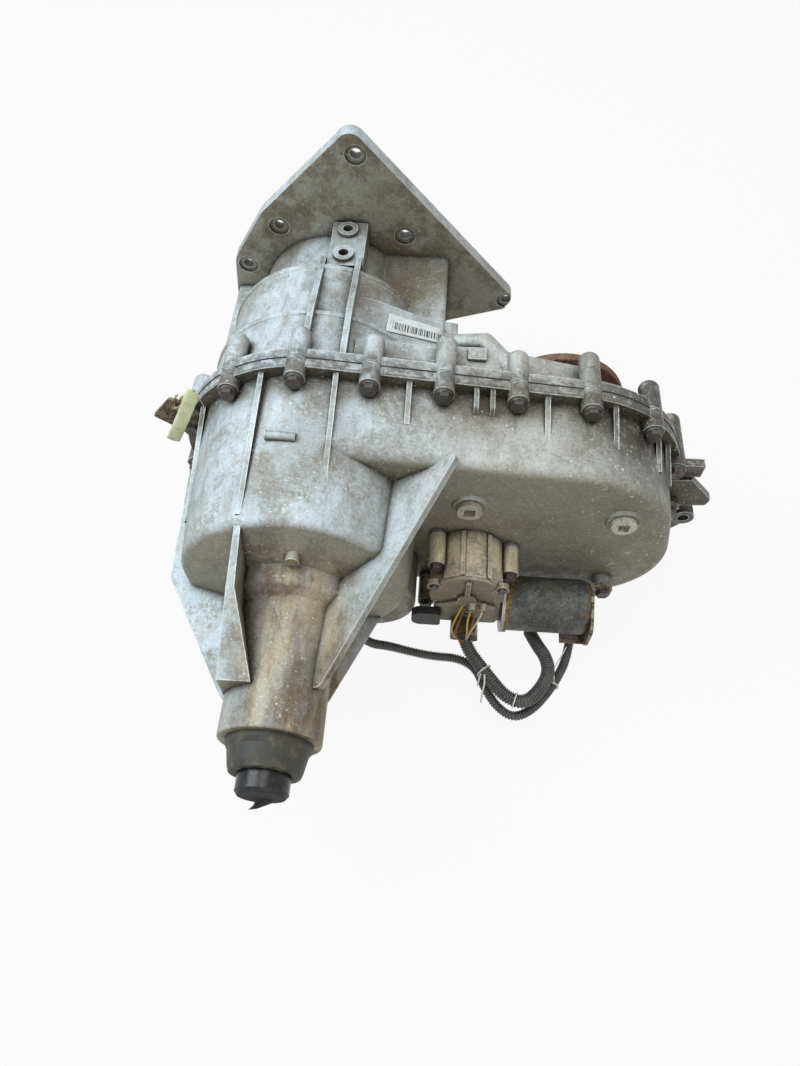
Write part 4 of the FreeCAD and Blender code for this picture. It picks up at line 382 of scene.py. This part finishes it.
def ribbed_plastic(name):
    """Black conduit plastic: grey on the crests, with painted shade darkening the roots between them."""
    look = Look(name)
    root, crest, smear = (0.006, 0.006, 0.006), (0.13, 0.135, 0.125), (0.16, 0.155, 0.14)
    # Painted shade darkens the roots between the ribs; the crests stay grey
    unshaded_share = look.times(look.ramp(look.corners(0.0016), 0.50, 0.92),
                            look.ramp(look.noise(0.010, 5), 0.3, 0.6, 0.45, 1.0))
    tone = look.mix(unshaded_share, root, crest)
    tone = look.mix(look.ramp(look.noise(0.006, 5, 0.7), 0.56, 0.68, 0.0, 0.5), tone, smear)
    look.bump((look.noise(0.003, 4), 0.0001))
    return look.finish(tone, look.ramp(unshaded_share, 0.0, 1.0, 0.35, 0.6))


def oily_black(name):
    """Glossy black: shiny round the side, dull and gritty on the end."""
    look = Look(name)
    end = look.ramp(look.rearward(), 0.4, 0.9)
    grit = look.noise(0.004, 6, 0.75)
    tone = look.mix(look.ramp(grit, 0.50, 0.66, 0.0, 0.8), (0.010, 0.011, 0.013), (0.05, 0.048, 0.042))
    look.bump((grit, 0.00015), (look.noise(0.0015, 4), 0.00004))
    rough = look.sum(look.ramp(grit, 0.4, 0.6, 0.12, 0.24), look.times(end, 0.6))
    return look.finish(tone, rough, Specular_IOR_Level=0.35)


def painted_can(name):
    """Black paint on drawn steel, browned and flaked along its edges and lower side."""
    look = Look(name)
    patch = look.noise(0.014, 6, 0.7)
    ends = look.most(look.ramp(look.axis("X"), 0.204, 0.193), look.ramp(look.axis("X"), 0.262, 0.284))
    lower = look.ramp(look.axis("Z"), -0.076, -0.104)
    share = look.ramp(look.sum(patch, look.times(look.most(ends, lower), 0.30)), 0.56, 0.66)
    mottle = look.noise(0.003, 6, 0.8)
    paint = look.mix(look.ramp(look.noise(0.02, 5), 0.35, 0.7), (0.045, 0.050, 0.050), (0.115, 0.12, 0.105))
    paint = look.mix(look.ramp(mottle, 0.52, 0.64, 0.0, 0.7), paint, (0.24, 0.25, 0.22))
    paint = look.mix(look.ramp(mottle, 0.48, 0.38, 0.0, 0.8), paint, (0.016, 0.016, 0.015))
    rust = look.mix(look.ramp(look.noise(0.004, 5), 0.4, 0.62), (0.25, 0.155, 0.055), (0.06, 0.042, 0.022))
    look.bump((patch, 0.0004), (mottle, 0.0004), (look.noise(0.0015, 4), 0.0002))
    return look.finish(look.mix(share, paint, rust), look.ramp(patch, 0.4, 0.7, 0.38, 0.8), 0.1)


def barred_label(name, bars):
    """White printed label with plain dark bars and no lettering; bars sets how many cross its width."""
    look = Look(name)
    u, v = (look.part_of(look.coordinates.outputs["UV"], letter) for letter in "XY")
    wave = look.add("ShaderNodeTexNoise", noise_dimensions="1D")
    look.feed(wave.inputs["W"], look.times(u, bars))
    wave.inputs["Scale"].default_value = 1.0
    wave.inputs["Detail"].default_value = 1.0
    ink = look.ramp(wave.outputs["Fac"], 0.49, 0.51)
    inside = look.times(look.ramp(u, 0.10, 0.105), look.ramp(u, 0.90, 0.895))
    inside = look.times(inside, look.times(look.ramp(v, 0.40, 0.41), look.ramp(v, 0.80, 0.79)))
    paper = look.mix(look.ramp(look.noise(0.01, 5), 0.45, 0.80), (0.90, 0.93, 0.93), (0.66, 0.66, 0.60))
    look.bump((look.noise(0.004, 3), 0.0001))
    return look.finish(look.mix(look.times(ink, inside), paper, (0.03, 0.03, 0.03)), 0.5)


CAST = cast_metal("cast_aluminium_case")
# The motor's pale colours for what faces up are painted top light with some dust, and its shaded colours
# are painted shade
MOTOR_CAST = cast_metal("cast_motor", (0.78, 0.70, 0.48), (0.42, 0.34, 0.19), (0.05, 0.04, 0.025),
                        (0.92, 0.86, 0.64), (0.34, 0.285, 0.175), False)
MOTOR_LID = cast_metal("cast_motor_lid", (0.34, 0.30, 0.20), (0.16, 0.13, 0.075), (0.03, 0.026, 0.018),
                       (0.52, 0.49, 0.38), (0.21, 0.18, 0.115), False)
DARK_STEEL = worn_steel("bolt_steel")
PLUG_STEEL = worn_steel("plug_steel", (0.44, 0.42, 0.36), (0.22, 0.18, 0.12), 0.2, 0.6, 0.3)
RUST = worn_steel("rusty_steel", (0.16, 0.07, 0.035), (0.27, 0.115, 0.045), 0.75, 0.75, 0.2)
FLANGE_RUST = worn_steel("rusty_flange", (0.20, 0.125, 0.09), (0.27, 0.155, 0.105), 0.8, 0.8, 0.1)
BRACKET = worn_steel("olive_bracket", (0.20, 0.175, 0.11), (0.10, 0.075, 0.04), 0.5, 0.7, 0.2)
STRAP_STEEL = worn_steel("strap_steel", (0.24, 0.22, 0.18), (0.13, 0.085, 0.04), 0.45, 0.6, 0.5)
GREY_STEEL = machined("pressed_steel", (0.35, 0.34, 0.32), 0.42)
SHAFT_STEEL = machined("shaft_steel", (0.55, 0.55, 0.56), 0.25)
GEAR_STEEL = machined("gear_steel", (0.32, 0.32, 0.33), 0.34)
BEARING_STEEL = machined("bearing_steel", (0.66, 0.66, 0.68), 0.18, 0.2)
CHAIN_STEEL = machined("chain_steel", (0.20, 0.20, 0.22), 0.32, 0.5)
BRONZE = machined("bronze", (0.50, 0.33, 0.12), 0.35)
BLACK_RUBBER = moulded("black_rubber", (0.022, 0.021, 0.020), (0.13, 0.12, 0.10), 0.55, 0.55)
BOOT_RUBBER = moulded("boot_rubber", (0.040, 0.040, 0.034), (0.19, 0.175, 0.13), 0.85, 0.55)
GLOSSY = oily_black("glossy_black")
SEALANT = moulded("black_sealant", (0.012, 0.012, 0.012), (0.06, 0.055, 0.05), 0.4, 0.4)
CONDUIT = ribbed_plastic("conduit_plastic")
CONNECTOR = moulded("connector_plastic", (0.018, 0.018, 0.018), (0.10, 0.09, 0.08), 0.4, 0.4)
AMBER = moulded("browned_boot", (0.17, 0.095, 0.025), (0.035, 0.022, 0.010), 0.95, 0.35)
NYLON = moulded("white_nylon", (0.88, 0.88, 0.85), (0.60, 0.58, 0.52), 0.4, 0.4)
COIL = moulded("varnished_coil", (0.22, 0.075, 0.025), (0.12, 0.05, 0.02), 0.5, 0.3)
LINING = moulded("friction_lining", (0.11, 0.065, 0.035), (0.06, 0.04, 0.02), 0.5, 0.7)
YELLOW_WIRE = moulded("yellow_wire", (0.72, 0.50, 0.12), (0.40, 0.26, 0.07), 0.4, 0.45)
WHITE_WIRE = moulded("white_wire", (0.80, 0.70, 0.48), (0.50, 0.38, 0.20), 0.4, 0.45)
BROWN_WIRE = moulded("brown_wire", (0.22, 0.115, 0.05), (0.12, 0.08, 0.04), 0.4, 0.45)
PAPER = moulded("yellowed_paper", (0.88, 0.93, 0.60), (0.60, 0.55, 0.28), 0.7, 0.8)
STRING = moulded("straw_string", (0.56, 0.50, 0.30), (0.25, 0.20, 0.10), 0.6, 0.85)

FINISHES = {
    CAST: ["front_case", "rear_case"],
    MOTOR_CAST: ["motor_housing", "shift_fork"],
    MOTOR_LID: ["motor_cover"],
    DARK_STEEL: ["case_bolts", "motor_bolts", "dowel_pins"],
    PLUG_STEEL: ["fill_plug", "drain_plug"],
    RUST: ["flange_nut"],
    BRACKET: ["tag_bracket"],
    STRAP_STEEL: ["motor_strap"],
    FLANGE_RUST: ["front_output_flange"],
    GREY_STEEL: ["tone_ring", "clutch_cage", "steel_plates", "clutch_armature", "oil_pump",
                 "motor_end_bell"],
    SHAFT_STEEL: ["input_shaft", "main_shaft", "planet_pins", "front_output_shaft", "shift_rail",
                  "shift_shaft", "motor_worm"],
    GEAR_STEEL: ["ring_gear", "planet_carrier", "planet_gear_1", "planet_gear_2", "planet_gear_3",
                 "range_hub", "drive_sprocket", "driven_sprocket", "clutch_hub"],
    BEARING_STEEL: ["input_bearing", "pilot_bearing", "rear_bearing", "output_bearing", "output_needle"],
    CHAIN_STEEL: ["drive_chain"],
    BRONZE: ["tail_bushing", "worm_wheel"],
    BLACK_RUBBER: ["input_seal", "output_seal"],
    BOOT_RUBBER: ["rear_seal_boot"],
    GLOSSY: ["tail_plug", "oil_pickup"],
    SEALANT: ["case_sealant"],
    CONNECTOR: ["speed_sensor", "harness_connector"],
    AMBER: ["wire_boot"],
    NYLON: ["cable_ties"],
    COIL: ["clutch_coil"],
    LINING: ["friction_plates"],
    painted_can("black_can"): ["motor_can"],
}
for finish, names in FINISHES.items():
    for node in names:
        for slot in NODES[node].material_slots:
            slot.material = finish


# ---- Pieces ---------------------------------------------------------------------------------

def ring(bm, places):
    """Vertices at places in metres, as one row."""
    return [bm.verts.new(place) for place in places]


def skin(bm, rings, outward=True):
    """Closed skin between neighbouring rings of as many vertices."""
    for row, after in zip(rings, rings[1:]):
        for i, here in enumerate(row):
            j = (i + 1) % len(row)
            inner = (row[j], after[j], after[i]) if outward else (after[i], after[j], row[j])
            bm.faces.new((here, *inner))


def net(bm, grid):
    """Open sheet over a grid of vertices; gives each face with its row and column."""
    made = []
    for i, (row, after) in enumerate(zip(grid, grid[1:])):
        for j in range(len(row) - 1):
            made.append((bm.faces.new((row[j], row[j + 1], after[j + 1], after[j])), i, j))
    return made


def between(corners, i, j):
    """Point of the flat patch between four corners: j along its first side, i across, from 0 to 1."""
    a, b, c, d = corners
    return a.lerp(b, j).lerp(d.lerp(c, j), i)


def mesh_piece(name, mesh_builder, material, body="case"):
    """A smooth mesh object made by mesh_builder(bm), riding on a body."""
    bm = bmesh.new()
    mesh_builder(bm)
    mesh = bpy.data.meshes.new(name)
    bm.to_mesh(mesh)
    bm.free()
    mesh.materials.append(material)
    for polygon in mesh.polygons:
        polygon.use_smooth = True
    piece = bpy.data.objects.new(name, mesh)
    bpy.context.scene.collection.objects.link(piece)
    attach(piece, body)
    return piece


def curve_line(name, route, radius, material):
    """Smooth round line whose control points are the route's, in millimetres."""
    curve = bpy.data.curves.new(name, "CURVE")
    curve.dimensions = "3D"
    curve.resolution_u = 16
    curve.bevel_depth = radius
    curve.bevel_resolution = 6
    curve.use_fill_caps = True
    spline = curve.splines.new("NURBS")
    spline.points.add(len(route) - 1)
    for point, place in zip(spline.points, route):
        point.co = (*(c * MM for c in place), 1)
    spline.order_u = 3
    spline.use_endpoint_u = True
    curve.materials.append(material)
    piece = bpy.data.objects.new(name, curve)
    bpy.context.scene.collection.objects.link(piece)
    return piece


def corrugation(name, line, root, crest, pitch):
    """Ribs of a corrugated conduit: one rib repeated along the line."""
    profile = [(0.0, root), (0.16, root), (0.26, crest), (0.74, crest), (0.84, root), (1.0, root)]
    around = 20

    def build(bm):
        turns = [2 * pi * i / around for i in range(around)]
        skin(bm, [ring(bm, [(share * pitch, radius * cos(turn), radius * sin(turn)) for turn in turns])
                  for share, radius in profile])

    ribs = mesh_piece(name, build, CONDUIT)
    repeat = ribs.modifiers.new("repeat", "ARRAY")
    repeat.fit_type = "FIT_CURVE"
    repeat.curve = line
    repeat.use_merge_vertices = True
    repeat.merge_threshold = 0.0001
    follow = ribs.modifiers.new("follow", "CURVE")
    follow.object = line
    follow.deform_axis = "POS_X"
    return ribs


RIB_DEPTH = 0.9
RIB_SINK = 0.05
RIB_PITCH = 2.6


def conduit(node, route, radius):
    """Corrugated conduit in place of its CAD tube; route and radius in millimetres, length in metres."""
    line = curve_line(node + "_core", route, (radius - RIB_DEPTH) * MM, CONDUIT)
    ribs = corrugation(node + "_ribs", line, (radius - RIB_DEPTH - RIB_SINK) * MM, radius * MM,
                       RIB_PITCH * MM)
    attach(line, "case")
    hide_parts(node)


MAIN_ROUTE = [(155, -376, -93), (160, -389, -97), (171, -403, -100), (183, -418, -100), (197, -435, -100),
              (216, -441, -100), (231, -426, -100), (240, -408, -101), (238, -390, -105), (230, -374, -112),
              (225, -358, -120)]
SENSOR_ROUTE = [(51, -376, -87), (55, -385, -94), (66, -389, -102), (83, -387, -109),
                (102, -389, -114), (127, -393, -114), (152, -393, -114), (170, -402, -114),
                (178, -420, -114), (190, -440, -114), (207, -451, -114), (225, -441, -115),
                (240, -423, -115), (251, -405, -116), (260, -386, -117), (264, -366, -118)]
conduit("conduit_main", MAIN_ROUTE, 6.5)
conduit("conduit_sensor", SENSOR_ROUTE, 4.5)


# ---- Label and tag --------------------------------------------------------------------------

def surface(node):
    """Search tree of a CAD node's own surface, at rest."""
    return BVHTree.FromPolygons([v.co for v in NODES[node].data.vertices],
                                [tuple(p.vertices) for p in NODES[node].data.polygons])


DROP_FROM = 0.05
DEEPEST_SAG = 0.012


def draped(name, corners, lift, rows, columns, node, material, thick):
    """Sheet stuck on a node's surface from above: a grid between four corners, dropped on to it."""
    ground = surface(node)
    corners = [Vector(p) * MM for p in corners]

    def landed(top):
        hit = ground.ray_cast(top + Vector((0, 0, DROP_FROM)), Vector((0, 0, -1)))[0]
        return (top.x, top.y, max(hit.z + lift, top.z - DEEPEST_SAG) if hit else top.z)

    def build(bm):
        layer = bm.loops.layers.uv.new("UVMap")
        grid = [ring(bm, [landed(between(corners, i / rows, j / columns)) for j in range(columns + 1)])
                for i in range(rows + 1)]
        for face, i, j in net(bm, grid):
            for loop, (u, v) in zip(face.loops, ((j, i), (j + 1, i), (j + 1, i + 1), (j, i + 1))):
                loop[layer].uv = (u / columns, v / rows)

    sheet = mesh_piece(name, build, material)
    smooth = sheet.modifiers.new("ease", "SMOOTH")
    smooth.iterations = 6
    solid = sheet.modifiers.new("paper", "SOLIDIFY")
    solid.thickness = thick
    solid.offset = 1.0
    return sheet


LABEL_CORNERS = [(65.0, -126.5, 85), (126.0, -121.5, 60), (125.5, -142.0, 60), (63.0, -153.0, 85)]
LABEL_LIFT = 0.0010
LABEL_THICK = 0.0003
LABEL_BARS = 46.0
draped("bar_label", LABEL_CORNERS, LABEL_LIFT, 10, 24, "front_case", barred_label("bar_label", LABEL_BARS),
       LABEL_THICK)

TAG_CORNERS = [(-99, -252, 106), (-90, -252, 97), (-123, -254, 31), (-134, -254, 36)]
TAG_BOW = 0.004
TAG_CURL = 0.001
TAG_THICK = 0.0004


def paper_tag():
    """Paper tag that hangs from the bracket, a little bowed along and across."""
    rows, columns = 12, 4
    corners = [Vector(p) * MM for p in TAG_CORNERS]

    def place(i, j):
        rise = TAG_BOW * sin(pi * i / rows) + TAG_CURL * sin(pi * j / columns)
        return between(corners, i / rows, j / columns) - Vector((0, rise, 0))

    def build(bm):
        net(bm, [ring(bm, [place(i, j) for j in range(columns + 1)]) for i in range(rows + 1)])

    tag = mesh_piece("paper_tag", build, PAPER)
    solid = tag.modifiers.new("paper", "SOLIDIFY")
    solid.thickness = TAG_THICK
    return tag


paper_tag()


def strand(name, route, radius, material):
    """Thin wire or thread along points in millimetres; radius is in millimetres too."""
    line = curve_line(name, route, radius * MM, material)
    line.data.bevel_resolution = 2
    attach(line, "case")
    return line


# Twine wound round the bracket, which holds the tag
TWINE_RADIUS = 0.55
LOOSE_TWINE_RADIUS = 0.5
TWINE_LEAN = 2.2
for turn in range(5):
    lean = TWINE_LEAN * sin(2.1 * turn)
    route = [(-116 + 2 * turn, -243, 84 + lean), (-122 + 2 * turn, -251, 74 + lean),
             (-112 + 2 * turn, -254, 80 - lean), (-103 + 1.5 * turn, -253, 92 - lean),
             (-98 + turn, -251, 101)]
    strand(f"twine_{turn + 1}", route, TWINE_RADIUS, STRING)
TWINE_END = [(-97, -251, 100), (-90, -254, 92), (-88, -255, 84), (-91, -256, 76)]
strand("twine_end", TWINE_END, LOOSE_TWINE_RADIUS, STRING)


# ---- Bare wires and tie tails ---------------------------------------------------------------

def wire_port(name, foot, reach):
    """Small moulded sleeve on the motor cover that a wire comes out of; sizes in millimetres."""
    profile = ((0.0, 4.4), (0.35, 4.2), (0.40, 3.5), (0.92, 3.1), (1.0, 2.6), (0.9, 1.6), (0.3, 1.4))
    around = 18
    x, y, z = foot

    def build(bm):
        turns = [2 * pi * i / around for i in range(around)]
        rings = [ring(bm, [((x + radius * cos(turn)) * MM, (y - share * reach) * MM,
                            (z + radius * sin(turn)) * MM) for turn in turns]) for share, radius in profile]
        skin(bm, rings, outward=False)
        bm.faces.new(rings[-1])

    return mesh_piece(name, build, MOTOR_LID)


wire_port("wire_port_1", (160.5, -364.5, -47), 9)
wire_port("wire_port_2", (171.0, -364.5, -51), 7)
WIRE_RADIUS = 0.95
BOOT_MOUTH = (158, -384, -92)
WIRES = (
    ("wire_yellow", YELLOW_WIRE,
     [(160, -366, -47), (159, -374, -49), (157, -380, -58), (158.5, -383, -76)]),
    ("wire_pale", WHITE_WIRE, [(171, -366, -51), (170.5, -373, -53), (166, -379, -60), (160, -384, -76)]),
    ("wire_brown", BROWN_WIRE, [(162, -366, -46), (163.5, -374, -49), (163, -379, -61), (160, -382, -78)]),
    ("wire_amber_1", YELLOW_WIRE, [(152, -366, -52), (145, -379, -58), (142, -384, -73), (152, -387, -88)]),
    ("wire_amber_2", BROWN_WIRE, [(155, -366, -52), (149, -380, -60), (146, -386, -76), (155, -388, -89)]))
for name, material, route in WIRES:
    strand(name, [*route, BOOT_MOUTH], WIRE_RADIUS, material)

WIDE_TAIL, THIN_TAIL = 0.9, 0.6
TIE_TAILS = (
    ([(177, -417, -93), (178, -423, -96), (175.5, -434, -97), (174.5, -443, -99)], WIDE_TAIL),
    ([(174, -414, -97), (172, -421, -99), (171, -426, -100)], WIDE_TAIL),
    ([(239, -412, -98), (244.5, -403, -100), (251, -392, -102), (258, -379, -103)], THIN_TAIL),
    ([(244, -404, -101), (246, -411, -104), (244.5, -417, -106)], THIN_TAIL))
for number, (route, radius) in enumerate(TIE_TAILS, 1):
    strand(f"tie_tail_{number}", route, radius, NYLON)


# ---- Torn rubber on the plug's end ----------------------------------------------------------

def torn_stub():
    """Ragged tongue that hangs from the middle of the plug's end; sizes in millimetres."""
    spine = [(3, -565.5, -2), (1, -568.5, -7), (-3, -570.5, -12), (-8, -571.5, -16), (-12, -572, -16.5)]
    widths = (8.5, 7.0, 5.5, 3.2, 0.8)
    deep, thick = 0.25, 0.55
    around = 14

    def place(k, turn):
        (x, y, z), width = spine[k], widths[k]
        width *= 1 + 0.28 * sin(3 * turn + 2.3 * k) + 0.16 * sin(7 * turn + 5.1 * k)
        return ((x + width * cos(turn)) * MM, (y + deep * width * sin(turn + k)) * MM,
                (z + thick * width * sin(turn)) * MM)

    def build(bm):
        turns = [2 * pi * i / around for i in range(around)]
        rings = [ring(bm, [place(k, turn) for turn in turns]) for k in range(len(spine))]
        skin(bm, rings)
        bm.faces.new(rings[0])
        bm.faces.new(rings[-1])

    stub = mesh_piece("torn_stub", build, GLOSSY, "tail_plug")
    finer = stub.modifiers.new("finer", "SUBSURF")
    finer.levels = finer.render_levels = 2
    return stub


torn_stub()


# ---- Floor, light and camera ----------------------------------------------------------------

def any_ray(tree, kinds):
    """1 where a ray is of one of these kinds, and 0 elsewhere."""
    path = tree.nodes.new("ShaderNodeLightPath")
    shown = path.outputs[kinds[0]]
    for kind in kinds[1:]:
        either = tree.nodes.new("ShaderNodeMath")
        either.operation = "MAXIMUM"
        tree.links.new(shown, either.inputs[0])
        tree.links.new(path.outputs[kind], either.inputs[1])
        shown = either.outputs["Value"]
    return shown


FLOOR_GAP = 0.002
FLOOR_WHITE = 0.92


def studio_floor(height):
    """Floor that shows white and still takes the object's shadow."""
    bpy.ops.mesh.primitive_plane_add(size=8, location=(0, 0, height))
    floor = bpy.context.object
    floor.name = "floor"
    material = bpy.data.materials.new("floor")
    material.use_nodes = True
    tree = material.node_tree
    plain = tree.nodes["Principled BSDF"]
    plain.inputs["Base Color"].default_value = (0.50, 0.49, 0.47, 1)
    plain.inputs["Roughness"].default_value = 0.9
    glow = tree.nodes.new("ShaderNodeEmission")
    glow.inputs["Color"].default_value = (1, 1, 1, 1)
    share = tree.nodes.new("ShaderNodeMath")
    share.operation = "MULTIPLY"
    share.inputs[1].default_value = FLOOR_WHITE
    tree.links.new(any_ray(tree, ("Is Camera Ray", "Is Glossy Ray")), share.inputs[0])
    blend = tree.nodes.new("ShaderNodeMixShader")
    tree.links.new(share.outputs["Value"], blend.inputs["Fac"])
    tree.links.new(plain.outputs["BSDF"], blend.inputs[1])
    tree.links.new(glow.outputs["Emission"], blend.inputs[2])
    tree.links.new(blend.outputs["Shader"], tree.nodes["Material Output"].inputs["Surface"])
    floor.data.materials.append(material)


def white_world(lit, shown):
    """World that lights the object at one strength and shows behind and in it at another."""
    world = bpy.data.worlds.new("world")
    world.use_nodes = True
    tree = world.node_tree
    background = tree.nodes["Background"]
    background.inputs["Color"].default_value = (0.97, 0.98, 1.0, 1)
    level = tree.nodes.new("ShaderNodeMapRange")
    level.inputs["To Min"].default_value = lit
    level.inputs["To Max"].default_value = shown
    seen = any_ray(tree, ("Is Camera Ray", "Is Glossy Ray", "Is Transmission Ray"))
    tree.links.new(seen, level.inputs["Value"])
    tree.links.new(level.outputs["Result"], background.inputs["Strength"])
    bpy.context.scene.world = world


def lamp(name, place, target, size, power, colour):
    """Soft square lamp that points at target."""
    data = bpy.data.lights.new(name, "AREA")
    data.size = size
    data.energy = power
    data.color = colour
    thing = bpy.data.objects.new(name, data)
    thing.location = place
    thing.rotation_euler = (Vector(target) - Vector(place)).to_track_quat("-Z", "Y").to_euler()
    bpy.context.scene.collection.objects.link(thing)


studio_floor(cad_box[0].z - FLOOR_GAP)
middle = (cad_box[0] + cad_box[1]) / 2
lamp("sky", (middle.x - 1.15, middle.y + 0.20, 1.35), middle, size=1.2, power=24, colour=(0.82, 0.94, 1.0))
lamp("top", (middle.x + 0.15, middle.y + 0.40, 1.90), middle, size=1.0, power=9.5, colour=(1.0, 0.98, 0.95))
lamp("front", (middle.x + 0.6, middle.y - 1.8, 0.9), middle, size=1.2, power=8.5, colour=(1.0, 0.94, 0.85))
white_world(lit=0.25, shown=1.0)
bpy.context.scene.view_settings.view_transform = "Standard"

# The camera was fitted to the photograph; angles from the level and from the part's Y axis
ELEVATION = radians(58.5)
AZIMUTH = radians(4.0)
EYE = Vector((0.1165, -0.7053, 0.6277))
SENSOR_WIDTH = 36.0
LENS = 27.0
NEAR_CLIP = 0.01
aim = Vector((-sin(AZIMUTH) * cos(ELEVATION), cos(AZIMUTH) * cos(ELEVATION), -sin(ELEVATION)))
camera = bpy.data.objects.new("camera", bpy.data.cameras.new("camera"))
camera.data.sensor_width = SENSOR_WIDTH
camera.data.lens = LENS
camera.data.clip_start = NEAR_CLIP
camera.location = EYE
camera.rotation_euler = aim.to_track_quat("-Z", "Y").to_euler()
bpy.context.scene.collection.objects.link(camera)
bpy.context.scene.camera = camera
